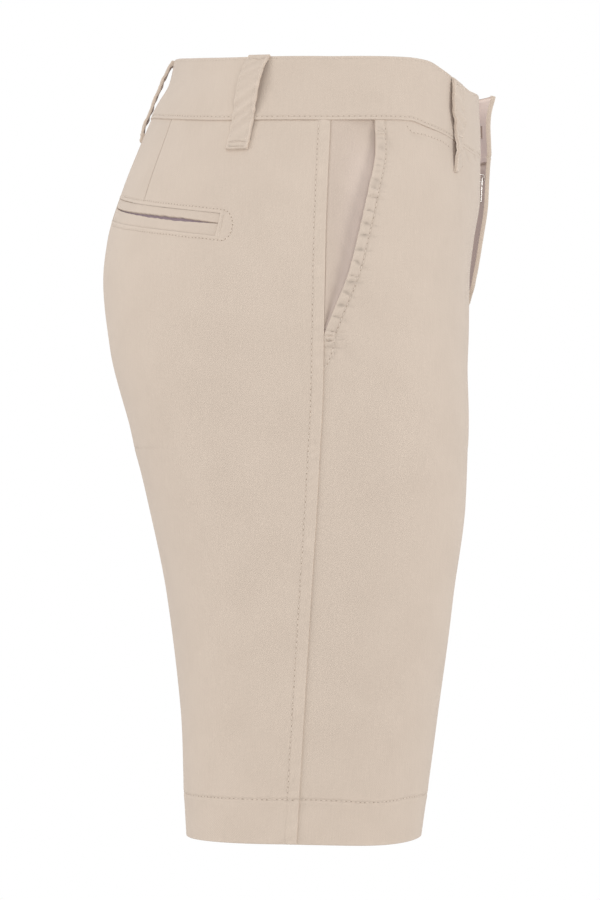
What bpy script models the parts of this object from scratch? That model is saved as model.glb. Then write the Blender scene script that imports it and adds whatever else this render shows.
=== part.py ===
"""Bermuda shorts in cotton twill, filled out as they hang when worn, with nobody inside.

The shorts are drawn as one smooth skin, and every cut piece is a stretch of that skin with its own
thickness. A point of the skin is found from two numbers: how high it is, and how far it lies round
the leg from the side seam. The wearer faces -Y, so the wearer's right side is -X. Sizes are in
millimetres in the tables and functions, and in metres in the meshes. Z is 0 at the middle of the
waistband's side, which is where the shorts are held up.
"""

import bisect
import math
from collections import namedtuple
from functools import lru_cache

import bmesh
import bpy
from mathutils import Vector

MM = 0.001

# ---------------------------------------------------------------- driving sizes, in millimetres
HEM_Z = -472.0
HEM_DEPTH = 30.0
CROTCH_Z = -225.0
CROTCH_Y = 8.0
INSEAM_SPREAD = 30.0  # from the middle plane to the inseam at the hem
INSEAM_Y_AT_HEM = 15.2

CLOTH = 1.2  # twill panel
SEAM_GAP = 0.3
WAIST_SEAM_GAP = 0.5
CROTCH_EASE = 0.1
WAISTBAND_THICK = 2.2
WAISTBAND_PROUD = 0.8
SEAM_ALLOWANCE = 7.0
SEAM_STEP = 0.5  # how far the allowances under the back panel lift its edge

FRONT_RISE_TURN_Z = -115.0
FRONT_RISE_POWER = 2.4
BACK_RISE_TURN_Z = -60.0
BACK_RISE_POWER = 2.6
LEG_ROUNDNESS = 2.15  # power of the superellipse that each quarter section follows

FRONT_POCKET_BOTTOM_Z = -153.0
FRONT_POCKET_GAPE = 2.6  # how far the front's pocket edge stands out
FACING_SINK = 4.6  # how far the side facing falls in behind that edge
FACING_THICK = 1.0
FACING_UNDERLAP = 30.0
FACING_EASE = 0.5  # room at the side seam for the slant of its edge

BACK_POCKET_FROM_SIDE = 70.0
BACK_POCKET_WIDTH = 130.0
BACK_POCKET_HALF_HEIGHT = 7.0
BACK_POCKET_Z_NEAR_SIDE = -84.2
BACK_POCKET_SLOPE = 0.115
BACK_POCKET_SLIT = 2.0
WELT_THICK = 1.8

FLY_OVERLAP = 8.0  # the left front's folded edge, past the centre line
FLY_WIDTH = 36.0
FLY_BOTTOM_Z = -131.0
RIGHT_FLY_EDGE = 4.0  # the right front's edge, past the centre line
FLY_FACING_THICK = 0.6
ZIP_CENTRE = 9.0
ZIP_TAPE_TOP_Z = -38.0
ZIP_TAPE_THICK = 0.6
ZIP_COIL_HALF_WIDTH = 3.1
ZIP_COIL_THICK = 1.4
UNDERLAP_COLUMNS = [9.0, 14.0, 20.0, 26.0]  # the right waistband's end, under the left one
UNDERLAP_SINK = 4.0
UNDER_FRONT = CLOTH + 0.4  # the fly's layers hang just behind the left front

LOOP_WIDTH = 15.0
LOOP_THICK = 1.5

SLIDER_TOP_Z = -42.0
SLIDER_WIDTH = 6.2
SLIDER_LENGTH = 9.0
SLIDER_FACE = 2.0  # from the tab's pivot in to the slider's outer face
SLIDER_THICK = 2.7
PULL_PIVOT_Z = -45.5
PULL_PIVOT_OUT = 2.2
PULL_LEAN = 3.0  # degrees, towards the body
PULL_WIDTH = 4.6
PULL_THICK = 0.9
PULL_EYE = 2.6
PULL_DROP = 16.5  # from the pivot to the tab's lower end

HOOK_WIDTH = 8.0
HOOK_Z = -15.0

# One row for each level: its height, then half the width across both hips, how far the cloth reaches
# in front and behind, where the side seam lies, and how far from the middle the front and the back
# reach furthest.
Level = namedtuple("Level", "z half_width front back side_y front_peak back_peak")
LEVELS = [
    Level(35.0, 153.0, 99.2, 99.5, -2.0, 0.0, 0.0),
    Level(15.0, 154.0, 99.2, 103.7, -1.7, 0.0, 0.0),
    Level(0.0, 156.0, 99.4, 112.0, -1.3, 0.0, 4.0),
    Level(-20.0, 160.0, 100.3, 120.7, -0.7, 2.0, 12.0),
    Level(-60.0, 174.0, 99.6, 135.0, 1.2, 18.0, 42.0),
    Level(-90.0, 183.0, 94.7, 143.0, 2.3, 38.0, 60.0),
    Level(-115.0, 188.0, 91.6, 145.4, 2.8, 52.0, 70.0),
    Level(-160.0, 191.0, 90.5, 140.6, 3.6, 74.0, 84.0),
    Level(-195.0, 190.5, 90.2, 132.4, 4.3, 87.0, 92.0),
    Level(-225.0, 189.5, 89.6, 124.4, 5.9, 94.0, 95.0),
    Level(-260.0, 188.0, 88.6, 115.7, 7.8, 97.0, 98.0),
    Level(-320.0, 185.0, 80.6, 104.6, 11.6, 100.0, 100.5),
    Level(-390.0, 181.5, 71.6, 97.0, 15.8, 102.5, 102.5),
    Level(-472.0, 178.0, 60.2, 91.2, 20.6, 104.0, 104.0),
]

# The waistband's two edges, by the share of the way from the side seam to the centre line.
BandEdge = namedtuple("BandEdge", "share top seam")
BAND_IN_FRONT = [
    BandEdge(0.0, 22.3, -18.4),
    BandEdge(0.25, 23.0, -17.5),
    BandEdge(0.34, 22.0, -21.2),
    BandEdge(0.43, 17.4, -24.8),
    BandEdge(0.55, 10.8, -30.8),
    BandEdge(0.70, 6.7, -34.6),
    BandEdge(1.0, 7.2, -35.0),
]
BAND_BEHIND = [
    BandEdge(0.0, 22.3, -18.4),
    BandEdge(0.30, 23.4, -17.3),
    BandEdge(0.58, 26.4, -13.4),
    BandEdge(0.80, 29.4, -9.8),
    BandEdge(1.0, 31.0, -8.5),
]

# The slanted front pocket: how far its edge lies in front of the side seam.
PocketEdge = namedtuple("PocketEdge", "z ahead")
FRONT_POCKET = [
    PocketEdge(-10.0, 27.8),
    PocketEdge(-37.0, 29.7),
    PocketEdge(-65.0, 25.2),
    PocketEdge(-90.0, 20.3),
    PocketEdge(-116.0, 14.2),
    PocketEdge(-139.0, 5.5),
    PocketEdge(-153.0, 0.15),
]

# The belt loops: which panel, how far from the side seam their two ends are sewn, how high, and how
# far they stand off the waistband. At the centre back the loop bridges the two halves.
LoopPlace = namedtuple("LoopPlace", "name panel top_away foot_away top_z foot_z stand")
LOOPS = [
    LoopPlace("belt_loop_side_back", "back", 49.4, 61.0, 23.2, -36.4, 7.2),
    LoopPlace("belt_loop_front", "front", 104.0, 107.0, 12.0, -47.5, 6.2),
]
CENTRE_LOOP = LoopPlace("belt_loop_centre_back", "back", 0.0, 0.0, 30.0, -23.0, 5.9)

# How far the left front stands off the right front along its folded fly edge.
FlyLift = namedtuple("FlyLift", "z lift")
FLY_LIFT = [
    FlyLift(20.0, 12.5),
    FlyLift(7.0, 11.2),
    FlyLift(0.0, 9.2),
    FlyLift(-7.0, 7.6),
    FlyLift(-15.0, 6.8),
    FlyLift(-30.0, 7.2),
    FlyLift(-42.0, 6.6),
    FlyLift(-52.0, 6.3),
    FlyLift(-61.0, 6.2),
    FlyLift(-75.0, 6.6),
    FlyLift(-87.0, 7.0),
    FlyLift(-103.0, 6.8),
    FlyLift(-116.0, 5.6),
    FlyLift(-124.0, 3.9),
    FlyLift(-131.0, 2.4),
    FlyLift(-140.0, 1.0),
    FlyLift(-152.0, 0.0),
]

# The largest soft folds: where each one's middle lies (height, and the share of the way from the side
# seam to the inner edge), how far it runs, which way it leans, how wide it is and how deep.
Fold = namedtuple("Fold", "panel z share length lean width depth")
FOLDS = [
    Fold("front", -196.0, 0.74, 46.0, 50.0, 20.0, 1.6),
    Fold("front", -300.0, 0.52, 90.0, 12.0, 24.0, 1.2),
    Fold("front", -395.0, 0.35, 80.0, -8.0, 22.0, 1.2),
    Fold("back", -236.0, 0.72, 52.0, 50.0, 22.0, 1.8),
    Fold("back", -350.0, 0.42, 95.0, 14.0, 26.0, 1.6),
    Fold("back", -405.0, 0.28, 60.0, 24.0, 20.0, 1.3),
]


# ---------------------------------------------------------------- curves through the tables
def curve_through(knots):
    """A function that passes smoothly through (place, value) pairs and never overshoots them."""
    knots = sorted(knots)
    places = [place for place, _ in knots]
    values = [value for _, value in knots]
    rises = [
        (values[i + 1] - values[i]) / (places[i + 1] - places[i]) for i in range(len(knots) - 1)
    ]
    slopes = [rises[0]]
    for before, after in zip(rises, rises[1:]):
        turns = before * after <= 0
        slopes.append(0.0 if turns else 2 * before * after / (before + after))
    slopes.append(rises[-1])

    def value_at(place):
        i = min(max(bisect.bisect_right(places, place) - 1, 0), len(rises) - 1)
        run = places[i + 1] - places[i]
        t = min(max((place - places[i]) / run, 0.0), 1.0)
        return (
            (2 * t**3 - 3 * t**2 + 1) * values[i]
            + (t**3 - 2 * t**2 + t) * run * slopes[i]
            + (3 * t**2 - 2 * t**3) * values[i + 1]
            + (t**3 - t**2) * run * slopes[i + 1]
        )

    return value_at


def column(rows, key, name):
    return curve_through([(getattr(row, key), getattr(row, name)) for row in rows])


half_width_at = column(LEVELS, "z", "half_width")
reach_at = {"front": column(LEVELS, "z", "front"), "back": column(LEVELS, "z", "back")}
peak_at = {"front": column(LEVELS, "z", "front_peak"), "back": column(LEVELS, "z", "back_peak")}
side_y_at = column(LEVELS, "z", "side_y")
band_top_at = {
    "front": column(BAND_IN_FRONT, "share", "top"),
    "back": column(BAND_BEHIND, "share", "top"),
}
band_seam_at = {
    "front": column(BAND_IN_FRONT, "share", "seam"),
    "back": column(BAND_BEHIND, "share", "seam"),
}
front_pocket_at = column(FRONT_POCKET, "z", "ahead")
fly_lift_at = column(FLY_LIFT, "z", "lift")


def fade(value, start, end):
    """0 before start, 1 after end, smooth between. Start may be above end."""
    t = min(max((value - start) / (end - start), 0.0), 1.0)
    return t * t * (3 - 2 * t)


# ---------------------------------------------------------------- the skin of the wearer's right half
SIGN = {"front": -1.0, "back": 1.0}


def inner_x(z):
    """How far the inseam lies from the middle plane. The crotch is an arch, so it opens fast."""
    below = max(0.0, (CROTCH_Z - z) / (CROTCH_Z - HEM_Z))
    return INSEAM_SPREAD * math.sqrt(below)


def inner_y(panel, z):
    """Where the centre seam lies above the crotch, and the inseam below it."""
    if z <= CROTCH_Z:
        down = (CROTCH_Z - z) / (CROTCH_Z - HEM_Z)
        return CROTCH_Y + (INSEAM_Y_AT_HEM - CROTCH_Y) * down
    turn, power = {
        "front": (FRONT_RISE_TURN_Z, FRONT_RISE_POWER),
        "back": (BACK_RISE_TURN_Z, BACK_RISE_POWER),
    }[panel]
    t = max(0.0, (turn - z) / (turn - CROTCH_Z))
    outline = SIGN[panel] * reach_at[panel](z)
    return CROTCH_Y + (outline - CROTCH_Y) * (1 - t**power) ** (1 / power)


@lru_cache(maxsize=None)
def section(panel, z):
    """The quarter of the section at height z, from the side seam to the inner edge, as points and the
    length run at each point. One arc goes round the outside and one goes in towards the other leg."""
    steps = 60
    peak, half_width = peak_at[panel](z), half_width_at(z)
    side_y, peak_y = side_y_at(z), SIGN[panel] * reach_at[panel](z)
    points = []
    for i in range(steps + 1):
        angle = math.pi / 2 * i / steps
        across = max(math.cos(angle), 0.0) ** (2 / LEG_ROUNDNESS)
        along = math.sin(angle) ** (2 / LEG_ROUNDNESS)
        points.append((-(peak + (half_width - peak) * across), side_y + (peak_y - side_y) * along))
    width, recess = peak - inner_x(z), inner_y(panel, z) - peak_y
    if width > 0.5:
        inward = (inner_y(panel, z) - CROTCH_Y) / (peak_y - CROTCH_Y)
        sweep = math.acos(min(max(inward, 0.0), math.cos(math.radians(5.0))))
        for i in range(1, steps + 1):
            angle = sweep * i / steps
            share_in = math.sin(angle) / math.sin(sweep)
            share_deep = (1 - math.cos(angle)) / (1 - math.cos(sweep))
            points.append((-(peak - width * share_in), peak_y + recess * share_deep))
    run = [0.0]
    for (x0, y0), (x1, y1) in zip(points, points[1:]):
        run.append(run[-1] + math.hypot(x1 - x0, y1 - y0))
    return points, run


def girth(panel, z):
    """The length round the quarter section at height z."""
    return section(panel, round(z, 3))[1][-1]


def bare_skin(panel, z, away):
    """The skin's point at height z, so far round from the side seam, on the wearer's right."""
    points, run = section(panel, round(z, 3))
    away = min(max(away, 0.0), run[-1])
    i = min(max(bisect.bisect_right(run, away) - 1, 0), len(run) - 2)
    t = (away - run[i]) / max(run[i + 1] - run[i], 1e-9)
    (x0, y0), (x1, y1) = points[i], points[i + 1]
    return Vector((x0 + (x1 - x0) * t, y0 + (y1 - y0) * t, z))


def fold_depth(panel, z, away):
    """How far the soft folds sink the cloth there."""
    depth, share = 0.0, away / girth(panel, z)
    for fold in FOLDS:
        if fold.panel != panel:
            continue
        up = z - fold.z
        across = (share - fold.share) * girth(panel, z)
        lean = math.radians(fold.lean)
        along = up * math.cos(lean) - across * math.sin(lean)
        beside = up * math.sin(lean) + across * math.cos(lean)
        shape = math.exp(-((along / fold.length) ** 2) - (beside / fold.width) ** 2)
        depth += fold.depth * shape
    return depth


def skin(panel, z, away, out=0.0):
    """A point of the skin moved out along its normal. Past the side seam it goes on round the other
    panel, and past the centre line it goes on over the wearer's left half."""
    if away < 0:
        return skin("back" if panel == "front" else "front", z, -away, out)
    length = girth(panel, z)
    if away > length and z > CROTCH_Z:
        mirrored = skin(panel, z, 2 * length - away, out)
        return Vector((-mirrored.x, mirrored.y, mirrored.z))
    step = 1.5
    near, far = max(away - step, 0.0), min(away + step, length)
    round_it = bare_skin(panel, z, far) - bare_skin(panel, z, near)
    share = away / length
    top, bottom = min(z + step, LEVELS[0].z), max(z - step, LEVELS[-1].z)
    up_it = bare_skin(panel, top, share * girth(panel, top)) - bare_skin(
        panel, bottom, share * girth(panel, bottom)
    )
    normal = up_it.cross(round_it) * SIGN[panel]
    normal.normalize()
    return bare_skin(panel, z, away) + normal * (out - fold_depth(panel, z, away))


def mirrored(point):
    return Vector((-point.x, point.y, point.z))


# ---------------------------------------------------------------- turning skin into solids
shorts = bpy.data.collections.new("bermuda_shorts")


def clear_scene():
    for obj in list(bpy.data.objects):
        bpy.data.objects.remove(obj, do_unlink=True)
    bpy.context.scene.collection.children.link(shorts)


def material(name, colour, roughness, metallic=0.0):
    """The material of that name, made the first time it is asked for."""
    made = bpy.data.materials.get(name)
    if made is None:
        made = bpy.data.materials.new(name)
        made.use_nodes = True
        shader = made.node_tree.nodes["Principled BSDF"]
        shader.inputs["Base Color"].default_value = (*colour, 1.0)
        shader.inputs["Roughness"].default_value = roughness
        shader.inputs["Metallic"].default_value = metallic
    return made


def twill():
    return material("sand_cotton_twill", (0.658, 0.552, 0.462), 0.9)


def nickel():
    return material("nickel_plated_zinc", (0.75, 0.74, 0.72), 0.3, 1.0)


def coil_nylon():
    return material("beige_nylon_coil", (0.6, 0.52, 0.44), 0.5)


def add_object(name, mesh, finish, smooth=True):
    obj = bpy.data.objects.new(name, mesh)
    mesh.materials.append(finish)
    if smooth:
        mesh.shade_smooth()
        mesh.set_sharp_from_angle(angle=math.radians(40))
    shorts.objects.link(obj)
    return obj


def cloth_wall(name, rows, thick, missing=(), doubled_rows=(), finish=None):
    """One cloth piece: a grid of outer points, rows from top to bottom, made into a wall that grows
    inwards. Cells in missing are left open. The wall is twice as thick along doubled_rows."""
    columns = len(rows[0])
    points = [tuple(point * MM) for row in rows for point in row]
    faces = []
    for r in range(len(rows) - 1):
        for c in range(columns - 1):
            if (r, c) not in missing:
                corner = r * columns + c
                faces.append((corner, corner + 1, corner + columns + 1, corner + columns))
    mesh = bpy.data.meshes.new(name)
    mesh.from_pydata(points, [], faces)
    obj = add_object(name, mesh, finish or twill())
    wall = obj.modifiers.new("wall", "SOLIDIFY")
    wall.thickness = thick * MM
    wall.offset = -1.0
    wall.use_even_offset = True
    if doubled_rows:
        wall.thickness = 2 * thick * MM
        single = obj.vertex_groups.new(name="thickness")
        for r in range(len(rows)):
            share = 1.0 if r in doubled_rows else 0.5
            single.add(list(range(r * columns, (r + 1) * columns)), share, "REPLACE")
        wall.vertex_group = single.name
    return obj


def pair_of_walls(name, rows, thick, **more):
    """The same cloth piece on the wearer's right and, mirrored, on the left."""
    cloth_wall(f"{name}_right", rows, thick, **more)
    cloth_wall(f"{name}_left", mirrored_rows(rows), thick, **flipped_cells(rows, more))


def mirrored_rows(rows):
    """Mirrored rows run the other way round, so that their faces still point out."""
    return [[mirrored(point) for point in reversed(row)] for row in rows]


def flipped_cells(rows, more):
    last = len(rows[0]) - 2
    flipped = dict(more)
    if "missing" in more:
        flipped["missing"] = {(r, last - c) for r, c in more["missing"]}
    return flipped


def between(start, end, count):
    return [start + (end - start) * i / (count - 1) for i in range(count)]


# ---------------------------------------------------------------- rows shared by the leg panels
# Each row of a leg panel: its height at the side seam, its height at the inner edge, and how much of
# the waist seam's dip it follows.
PanelRow = namedtuple("PanelRow", "side inner follows")
PANEL_ROWS = [
    PanelRow(-20.0, -20.0, 1.0),
    PanelRow(-45.0, -45.0, 0.6),
    PanelRow(-64.0, -66.0, 0.3),
    PanelRow(-90.0, -92.0, 0.05),
    PanelRow(-111.0, -115.0, 0.0),
    PanelRow(-123.0, -131.0, 0.0),
    PanelRow(-136.0, -148.0, 0.0),
    PanelRow(-153.0, -169.0, 0.0),
    PanelRow(-172.0, -189.0, 0.0),
    PanelRow(-190.0, -205.0, 0.0),
    PanelRow(-207.0, -216.0, 0.0),
    PanelRow(-221.0, -222.5, 0.0),
    PanelRow(-234.0, -225.0, 0.0),
    PanelRow(-247.0, -228.5, 0.0),
    PanelRow(-260.0, -238.0, 0.0),
    PanelRow(-280.0, -262.0, 0.0),
    PanelRow(-306.0, -296.0, 0.0),
    PanelRow(-338.0, -334.0, 0.0),
    PanelRow(-374.0, -374.0, 0.0),
    PanelRow(-410.0, -410.0, 0.0),
    PanelRow(HEM_Z + HEM_DEPTH + 1.0, HEM_Z + HEM_DEPTH + 1.0, 0.0),
    PanelRow(HEM_Z + HEM_DEPTH, HEM_Z + HEM_DEPTH, 0.0),
    PanelRow(HEM_Z, HEM_Z, 0.0),
]
HEM_ROWS = (len(PANEL_ROWS) - 2, len(PANEL_ROWS) - 1)


def row_height(row, panel, share):
    """The height of a panel row at a share of the way from the side seam to the inner edge."""
    share = min(max(share, 0.0), 1.0)
    level = row.side + (row.inner - row.side) * fade(share, 0.25, 1.0)
    return level + row.follows * (band_seam_at[panel](share) + 20.0 - SEAM_GAP)


def inner_limit(panel, z):
    """The last point of a panel before the centre seam or the inseam. Four seams meet at the crotch,
    so the gap is wider there."""
    at_crotch = math.exp(-(((z - CROTCH_Z) / 14.0) ** 2))
    return girth(panel, z) - SEAM_GAP / 2 - CROTCH_EASE * at_crotch


# ---------------------------------------------------------------- the four leg panels
def back_pocket_line(away):
    """The height of the back pocket's slit."""
    return BACK_POCKET_Z_NEAR_SIDE + BACK_POCKET_SLOPE * (away - BACK_POCKET_FROM_SIDE)


BACK_WINDOW_ROWS = (2, 3)
BEFORE_BACK_POCKET = [23.0, 38.0, 54.0]  # columns between the side edge and the pocket


def back_pocket_columns():
    return between(BACK_POCKET_FROM_SIDE, BACK_POCKET_FROM_SIDE + BACK_POCKET_WIDTH, 8)


def back_places():
    """Where the back panel's points lie, row by row: the height, and how far from the side seam. Two
    of its rows run along the pocket's window. Lower down the columns spread evenly over the leg."""
    near_edge = [SEAM_GAP / 2, SEAM_ALLOWANCE, SEAM_ALLOWANCE + 2.5]
    beyond_pocket = BACK_POCKET_FROM_SIDE + BACK_POCKET_WIDTH + 18.0
    middle = BEFORE_BACK_POCKET + back_pocket_columns() + [beyond_pocket]
    places = []
    for index, row in enumerate(PANEL_ROWS):
        length = girth("back", row.side)
        spread = 1.0 + (length * 0.85 / middle[-1] - 1.0) * fade(row.side, -120.0, -225.0)
        aways = near_edge + [away * spread for away in middle]
        line = []
        for away in aways:
            z = row_height(row, "back", away / length)
            if index in BACK_WINDOW_ROWS:
                side_of_slit = 1.0 if index == BACK_WINDOW_ROWS[0] else -1.0
                z = back_pocket_line(away) + side_of_slit * BACK_POCKET_HALF_HEIGHT
            line.append((z, away))
        last = line[-1][0]
        for share in (0.35, 0.7, 0.95, 1.0):
            z = last + (row_height(row, "back", 1.0) - last) * fade(share, 0.0, 1.0)
            line.append((z, aways[-1] + (inner_limit("back", z) - aways[-1]) * share))
        places.append(line)
    return places


def back_panels():
    """Half the seat and the back of a leg, with a window for the welt pocket. The side edge lies on
    the turned seam allowances, so it stands a little proud of the front."""
    step_ends = (SEAM_ALLOWANCE - 0.1, SEAM_ALLOWANCE + 2.4)
    rows = [
        [skin("back", z, away, SEAM_STEP * (1 - fade(away, *step_ends))) for z, away in line]
        for line in back_places()
    ]
    first = 3 + len(BEFORE_BACK_POCKET)
    last = first + len(back_pocket_columns()) - 1
    window = {(BACK_WINDOW_ROWS[0], column) for column in range(first, last)}
    pair_of_walls("back", rows, CLOTH, missing=window, doubled_rows=HEM_ROWS)


FRONT_SHARES = [0.0, 0.0, 0.11, 0.22, 0.34, 0.47, 0.61, 0.76, 0.89]
BEFORE_EDGE = {
    "left": [44.0, 38.0, 32.0, 27.0, 22.0, 17.0, 11.0, 5.0, 1.5, 0.0],
    "right": [40.0, 28.0, 17.0, 8.0, 1.5, 0.0],
}


def front_places(left):
    """Where a front panel's points lie. Its side edge is the pocket's slanted edge down to the
    pocket's foot, and its centre edge reaches past the centre line as one side of the fly."""
    before_edge = BEFORE_EDGE["left" if left else "right"]
    places = []
    for row in PANEL_ROWS:
        start_z = row_height(row, "front", 0.1)
        in_pocket = start_z > FRONT_POCKET_BOTTOM_Z
        start = max(front_pocket_at(start_z), SEAM_GAP / 2) if in_pocket else SEAM_GAP / 2
        length = girth("front", row.inner)
        plain = length - before_edge[0] - start
        aways = [start + plain * share for share in FRONT_SHARES]
        aways[1] = start + SEAM_ALLOWANCE
        line = [(row_height(row, "front", away / length), away) for away in aways]
        for before in before_edge:
            z = row_height(row, "front", 1.0 - before / length)
            z = row_height(row, "front", 1.0 - before / girth("front", z))
            line.append((z, inner_limit("front", z) + fly_reach(left, z) - before))
        places.append(line)
    return places


def front_rows(left):
    return [
        [skin("front", z, away, pocket_gape(z, away) + fly_lift(left, z, away)) for z, away in line]
        for line in front_places(left)
    ]


def pocket_gape(z, away):
    """How far the pocket's edge stands out, which dies away over a hand's breadth."""
    if z < FRONT_POCKET_BOTTOM_Z:
        return 0.0
    top = -20.0
    t = min(max((top - z) / (top - FRONT_POCKET_BOTTOM_Z), 0.0), 1.0)
    beside = max(0.0, away - front_pocket_at(z))
    return FRONT_POCKET_GAPE * math.sin(math.pi * t) ** 0.8 * (1 - fade(beside, 0.0, 45.0))


def fly_reach(left, z):
    """How far a front goes past its own centre seam along the fly."""
    open_share = fade(z, FLY_BOTTOM_Z, FLY_BOTTOM_Z + 14.0)
    return (FLY_OVERLAP if left else RIGHT_FLY_EDGE) * open_share


def fly_lift(left, z, away):
    """The left front's fly stands off the right front."""
    if not left:
        return 0.0
    past_root = away - (girth("front", z) - FLY_WIDTH)
    full_at = FLY_WIDTH - 10.0 * fade(z, -22.0, -36.0)
    return fly_lift_at(z) * fade(past_root, 0.0, full_at)


def front_panels():
    right = [list(reversed(row)) for row in front_rows(left=False)]
    left = [[mirrored(point) for point in row] for row in front_rows(left=True)]
    cloth_wall("front_right", right, CLOTH, doubled_rows=HEM_ROWS)
    cloth_wall("front_left", left, CLOTH, doubled_rows=HEM_ROWS)


# ---------------------------------------------------------------- front pocket's side facing
def facing_out(z, away):
    """The facing starts level with the side seam and sinks behind the front's pocket edge."""
    top = -18.0
    t = min(max((top - z) / (top - FRONT_POCKET_BOTTOM_Z), 0.0), 1.0)
    full = 1.8 + (FACING_SINK - 1.8) * math.sin(math.pi * t) ** 0.8
    return -full * fade(away, 0.0, max(front_pocket_at(z) - 2.0, 0.5))


def facing_rows():
    rows = []
    for t in between(0.0, 1.0, 9):
        line = []
        for share in [0.0, 0.25, 0.5, 0.75, 1.0, 1.35, 1.8]:
            top = band_seam_at["front"](0.12) - SEAM_GAP
            z = top + (FRONT_POCKET_BOTTOM_Z + 4.0 - top) * t
            edge = front_pocket_at(z)
            reach = edge * min(share, 1.0) + FACING_UNDERLAP * max(share - 1.0, 0.0)
            away = SEAM_GAP / 2 + FACING_EASE + reach
            if t == 0.0:
                z = band_seam_at["front"](away / girth("front", z)) - SEAM_GAP
            line.append(skin("front", z, away, facing_out(z, away)))
        rows.append(line)
    return rows


def pocket_facings():
    rows = facing_rows()
    cloth_wall("pocket_facing_right", [list(reversed(row)) for row in rows], FACING_THICK)
    left = [[mirrored(point) for point in row] for row in rows]
    cloth_wall("pocket_facing_left", left, FACING_THICK)


# ---------------------------------------------------------------- welts of the back pocket
def welt_rows(side_of_slit):
    """One folded strip of cloth in the pocket's window, from the slit to the window's edge."""
    rows = []
    columns = back_pocket_columns()
    columns[0] += SEAM_GAP
    columns[-1] -= SEAM_GAP
    for level in (1.0, 0.5, 0.0):
        line = []
        for index, away in enumerate(columns):
            slit = 0.15 + BACK_POCKET_SLIT / 2 * math.sin(math.pi * index / (len(columns) - 1))
            outer = BACK_POCKET_HALF_HEIGHT - SEAM_GAP
            height = slit + (outer - slit) * level
            z = back_pocket_line(away) + side_of_slit * height
            line.append(skin("back", z, away, -0.1 - 0.3 * (1 - level)))
        rows.append(line)
    return rows if side_of_slit > 0 else list(reversed(rows))


def back_pockets():
    pair_of_walls("back_welt_upper", welt_rows(1.0), WELT_THICK)
    pair_of_walls("back_welt_lower", welt_rows(-1.0), WELT_THICK)


# ---------------------------------------------------------------- waistband
def band_columns(left):
    """The waistband's columns from the centre back to the fly, each as its panel, its share of the way
    to the centre line and its height at the seam. They meet the leg panels' top rows point by point."""
    columns = []
    for z, away in reversed(back_places()[0]):
        columns.append(("back", away / girth("back", z), z + WAIST_SEAM_GAP))
    columns = [column for column in columns if not 0.02 < column[1] < 0.1]
    over_facing = 0.06
    columns.append(("front", over_facing, band_seam_at["front"](over_facing)))
    places = front_places(left)[0]
    if not left:
        z = places[-1][0]
        places = places + [(z, girth("front", z) + past) for past in UNDERLAP_COLUMNS]
    for z, away in places:
        columns.append(("front", away / girth("front", z), z + WAIST_SEAM_GAP))
    return columns


def waistband_rows(left):
    """Half the waistband, from the centre back round to the fly. The wearer's right end goes on as an
    underlap that sinks below the left end."""
    rows = []
    for level in between(0.0, 1.0, 5):
        line = []
        for panel, share, seam in band_columns(left):
            top = band_top_at[panel](share)
            z = top + (seam - top) * level
            away = girth(panel, z) * share
            out = WAISTBAND_PROUD
            if panel == "back":
                away = min(away, girth(panel, z) - SEAM_GAP / 2)
            elif left:
                out += fly_lift(left, z, away)
            else:
                out -= UNDERLAP_SINK * fade(away - girth(panel, z), -4.0, 12.0)
            line.append(skin(panel, z, away, out))
        rows.append(line)
    return rows


def waistband():
    """Columns run from the centre back, over the side, to the fly: leftwards as seen from outside on
    the wearer's left, so the right half is reversed."""
    right = [list(reversed(row)) for row in waistband_rows(left=False)]
    left = [[mirrored(point) for point in row] for row in waistband_rows(left=True)]
    cloth_wall("waistband_right", right, WAISTBAND_THICK)
    cloth_wall("waistband_left", left, WAISTBAND_THICK)


# ---------------------------------------------------------------- belt loops
def loop_stand(place, t):
    """How far the loop's underside is off the skin: close at both ends, bowed out between."""
    seat = WAISTBAND_PROUD + SEAM_GAP
    bow = fade(t, 0.0, 0.24) * (1 - fade(t, 0.42, 0.86))
    foot = fade(t, 0.6, 0.9)
    return seat + (place.stand - SEAM_GAP) * bow + (SEAM_STEP - WAISTBAND_PROUD) * foot


def loop_rows(place):
    rows = []
    for t in between(0.0, 1.0, 13):
        z = place.top_z + (place.foot_z - place.top_z) * t
        middle = place.top_away + (place.foot_away - place.top_away) * t
        line = []
        for side in (-0.5, 0.0, 0.5):
            away = middle + side * LOOP_WIDTH
            if place is CENTRE_LOOP:
                away += girth("back", z)
            line.append(skin(place.panel, z, away, loop_stand(place, t) + LOOP_THICK))
        rows.append(line)
    return rows


def belt_loops():
    for place in LOOPS:
        rows = loop_rows(place)
        if place.panel == "front":
            rows = [list(reversed(row)) for row in rows]
        pair_of_walls(place.name, rows, LOOP_THICK)
    cloth_wall(CENTRE_LOOP.name, loop_rows(CENTRE_LOOP), LOOP_THICK)


# ---------------------------------------------------------------- fly and zip
def fly_strip(name, past_list, top_z, thick, out_at, finish=None):
    """An upright strip beside the centre line, with its rows where the fronts have theirs. Past is how
    far it lies from the centre line towards the wearer's left, and out_at(z, past) is how far its
    outer face is off the skin."""
    heights = [row_height(row, "front", 1.0) for row in PANEL_ROWS]
    rows = []
    for z in [top_z] + [z for z in heights if FLY_BOTTOM_Z - 0.1 < z < top_z - 4.0]:
        length = girth("front", z)
        narrow = max(fly_reach(True, z) / FLY_OVERLAP, 0.05)
        pasts = [past if past > 0 else past * narrow for past in past_list]
        rows.append([skin("front", z, length + past, out_at(z, past)) for past in pasts])
    cloth_wall(name, [list(reversed(row)) for row in rows], thick, finish=finish)


def left_lift(z, past):
    """The left front's stand-off at a place given from the centre line towards the wearer's left."""
    return fly_lift(True, z, girth("front", z) - past)


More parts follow.
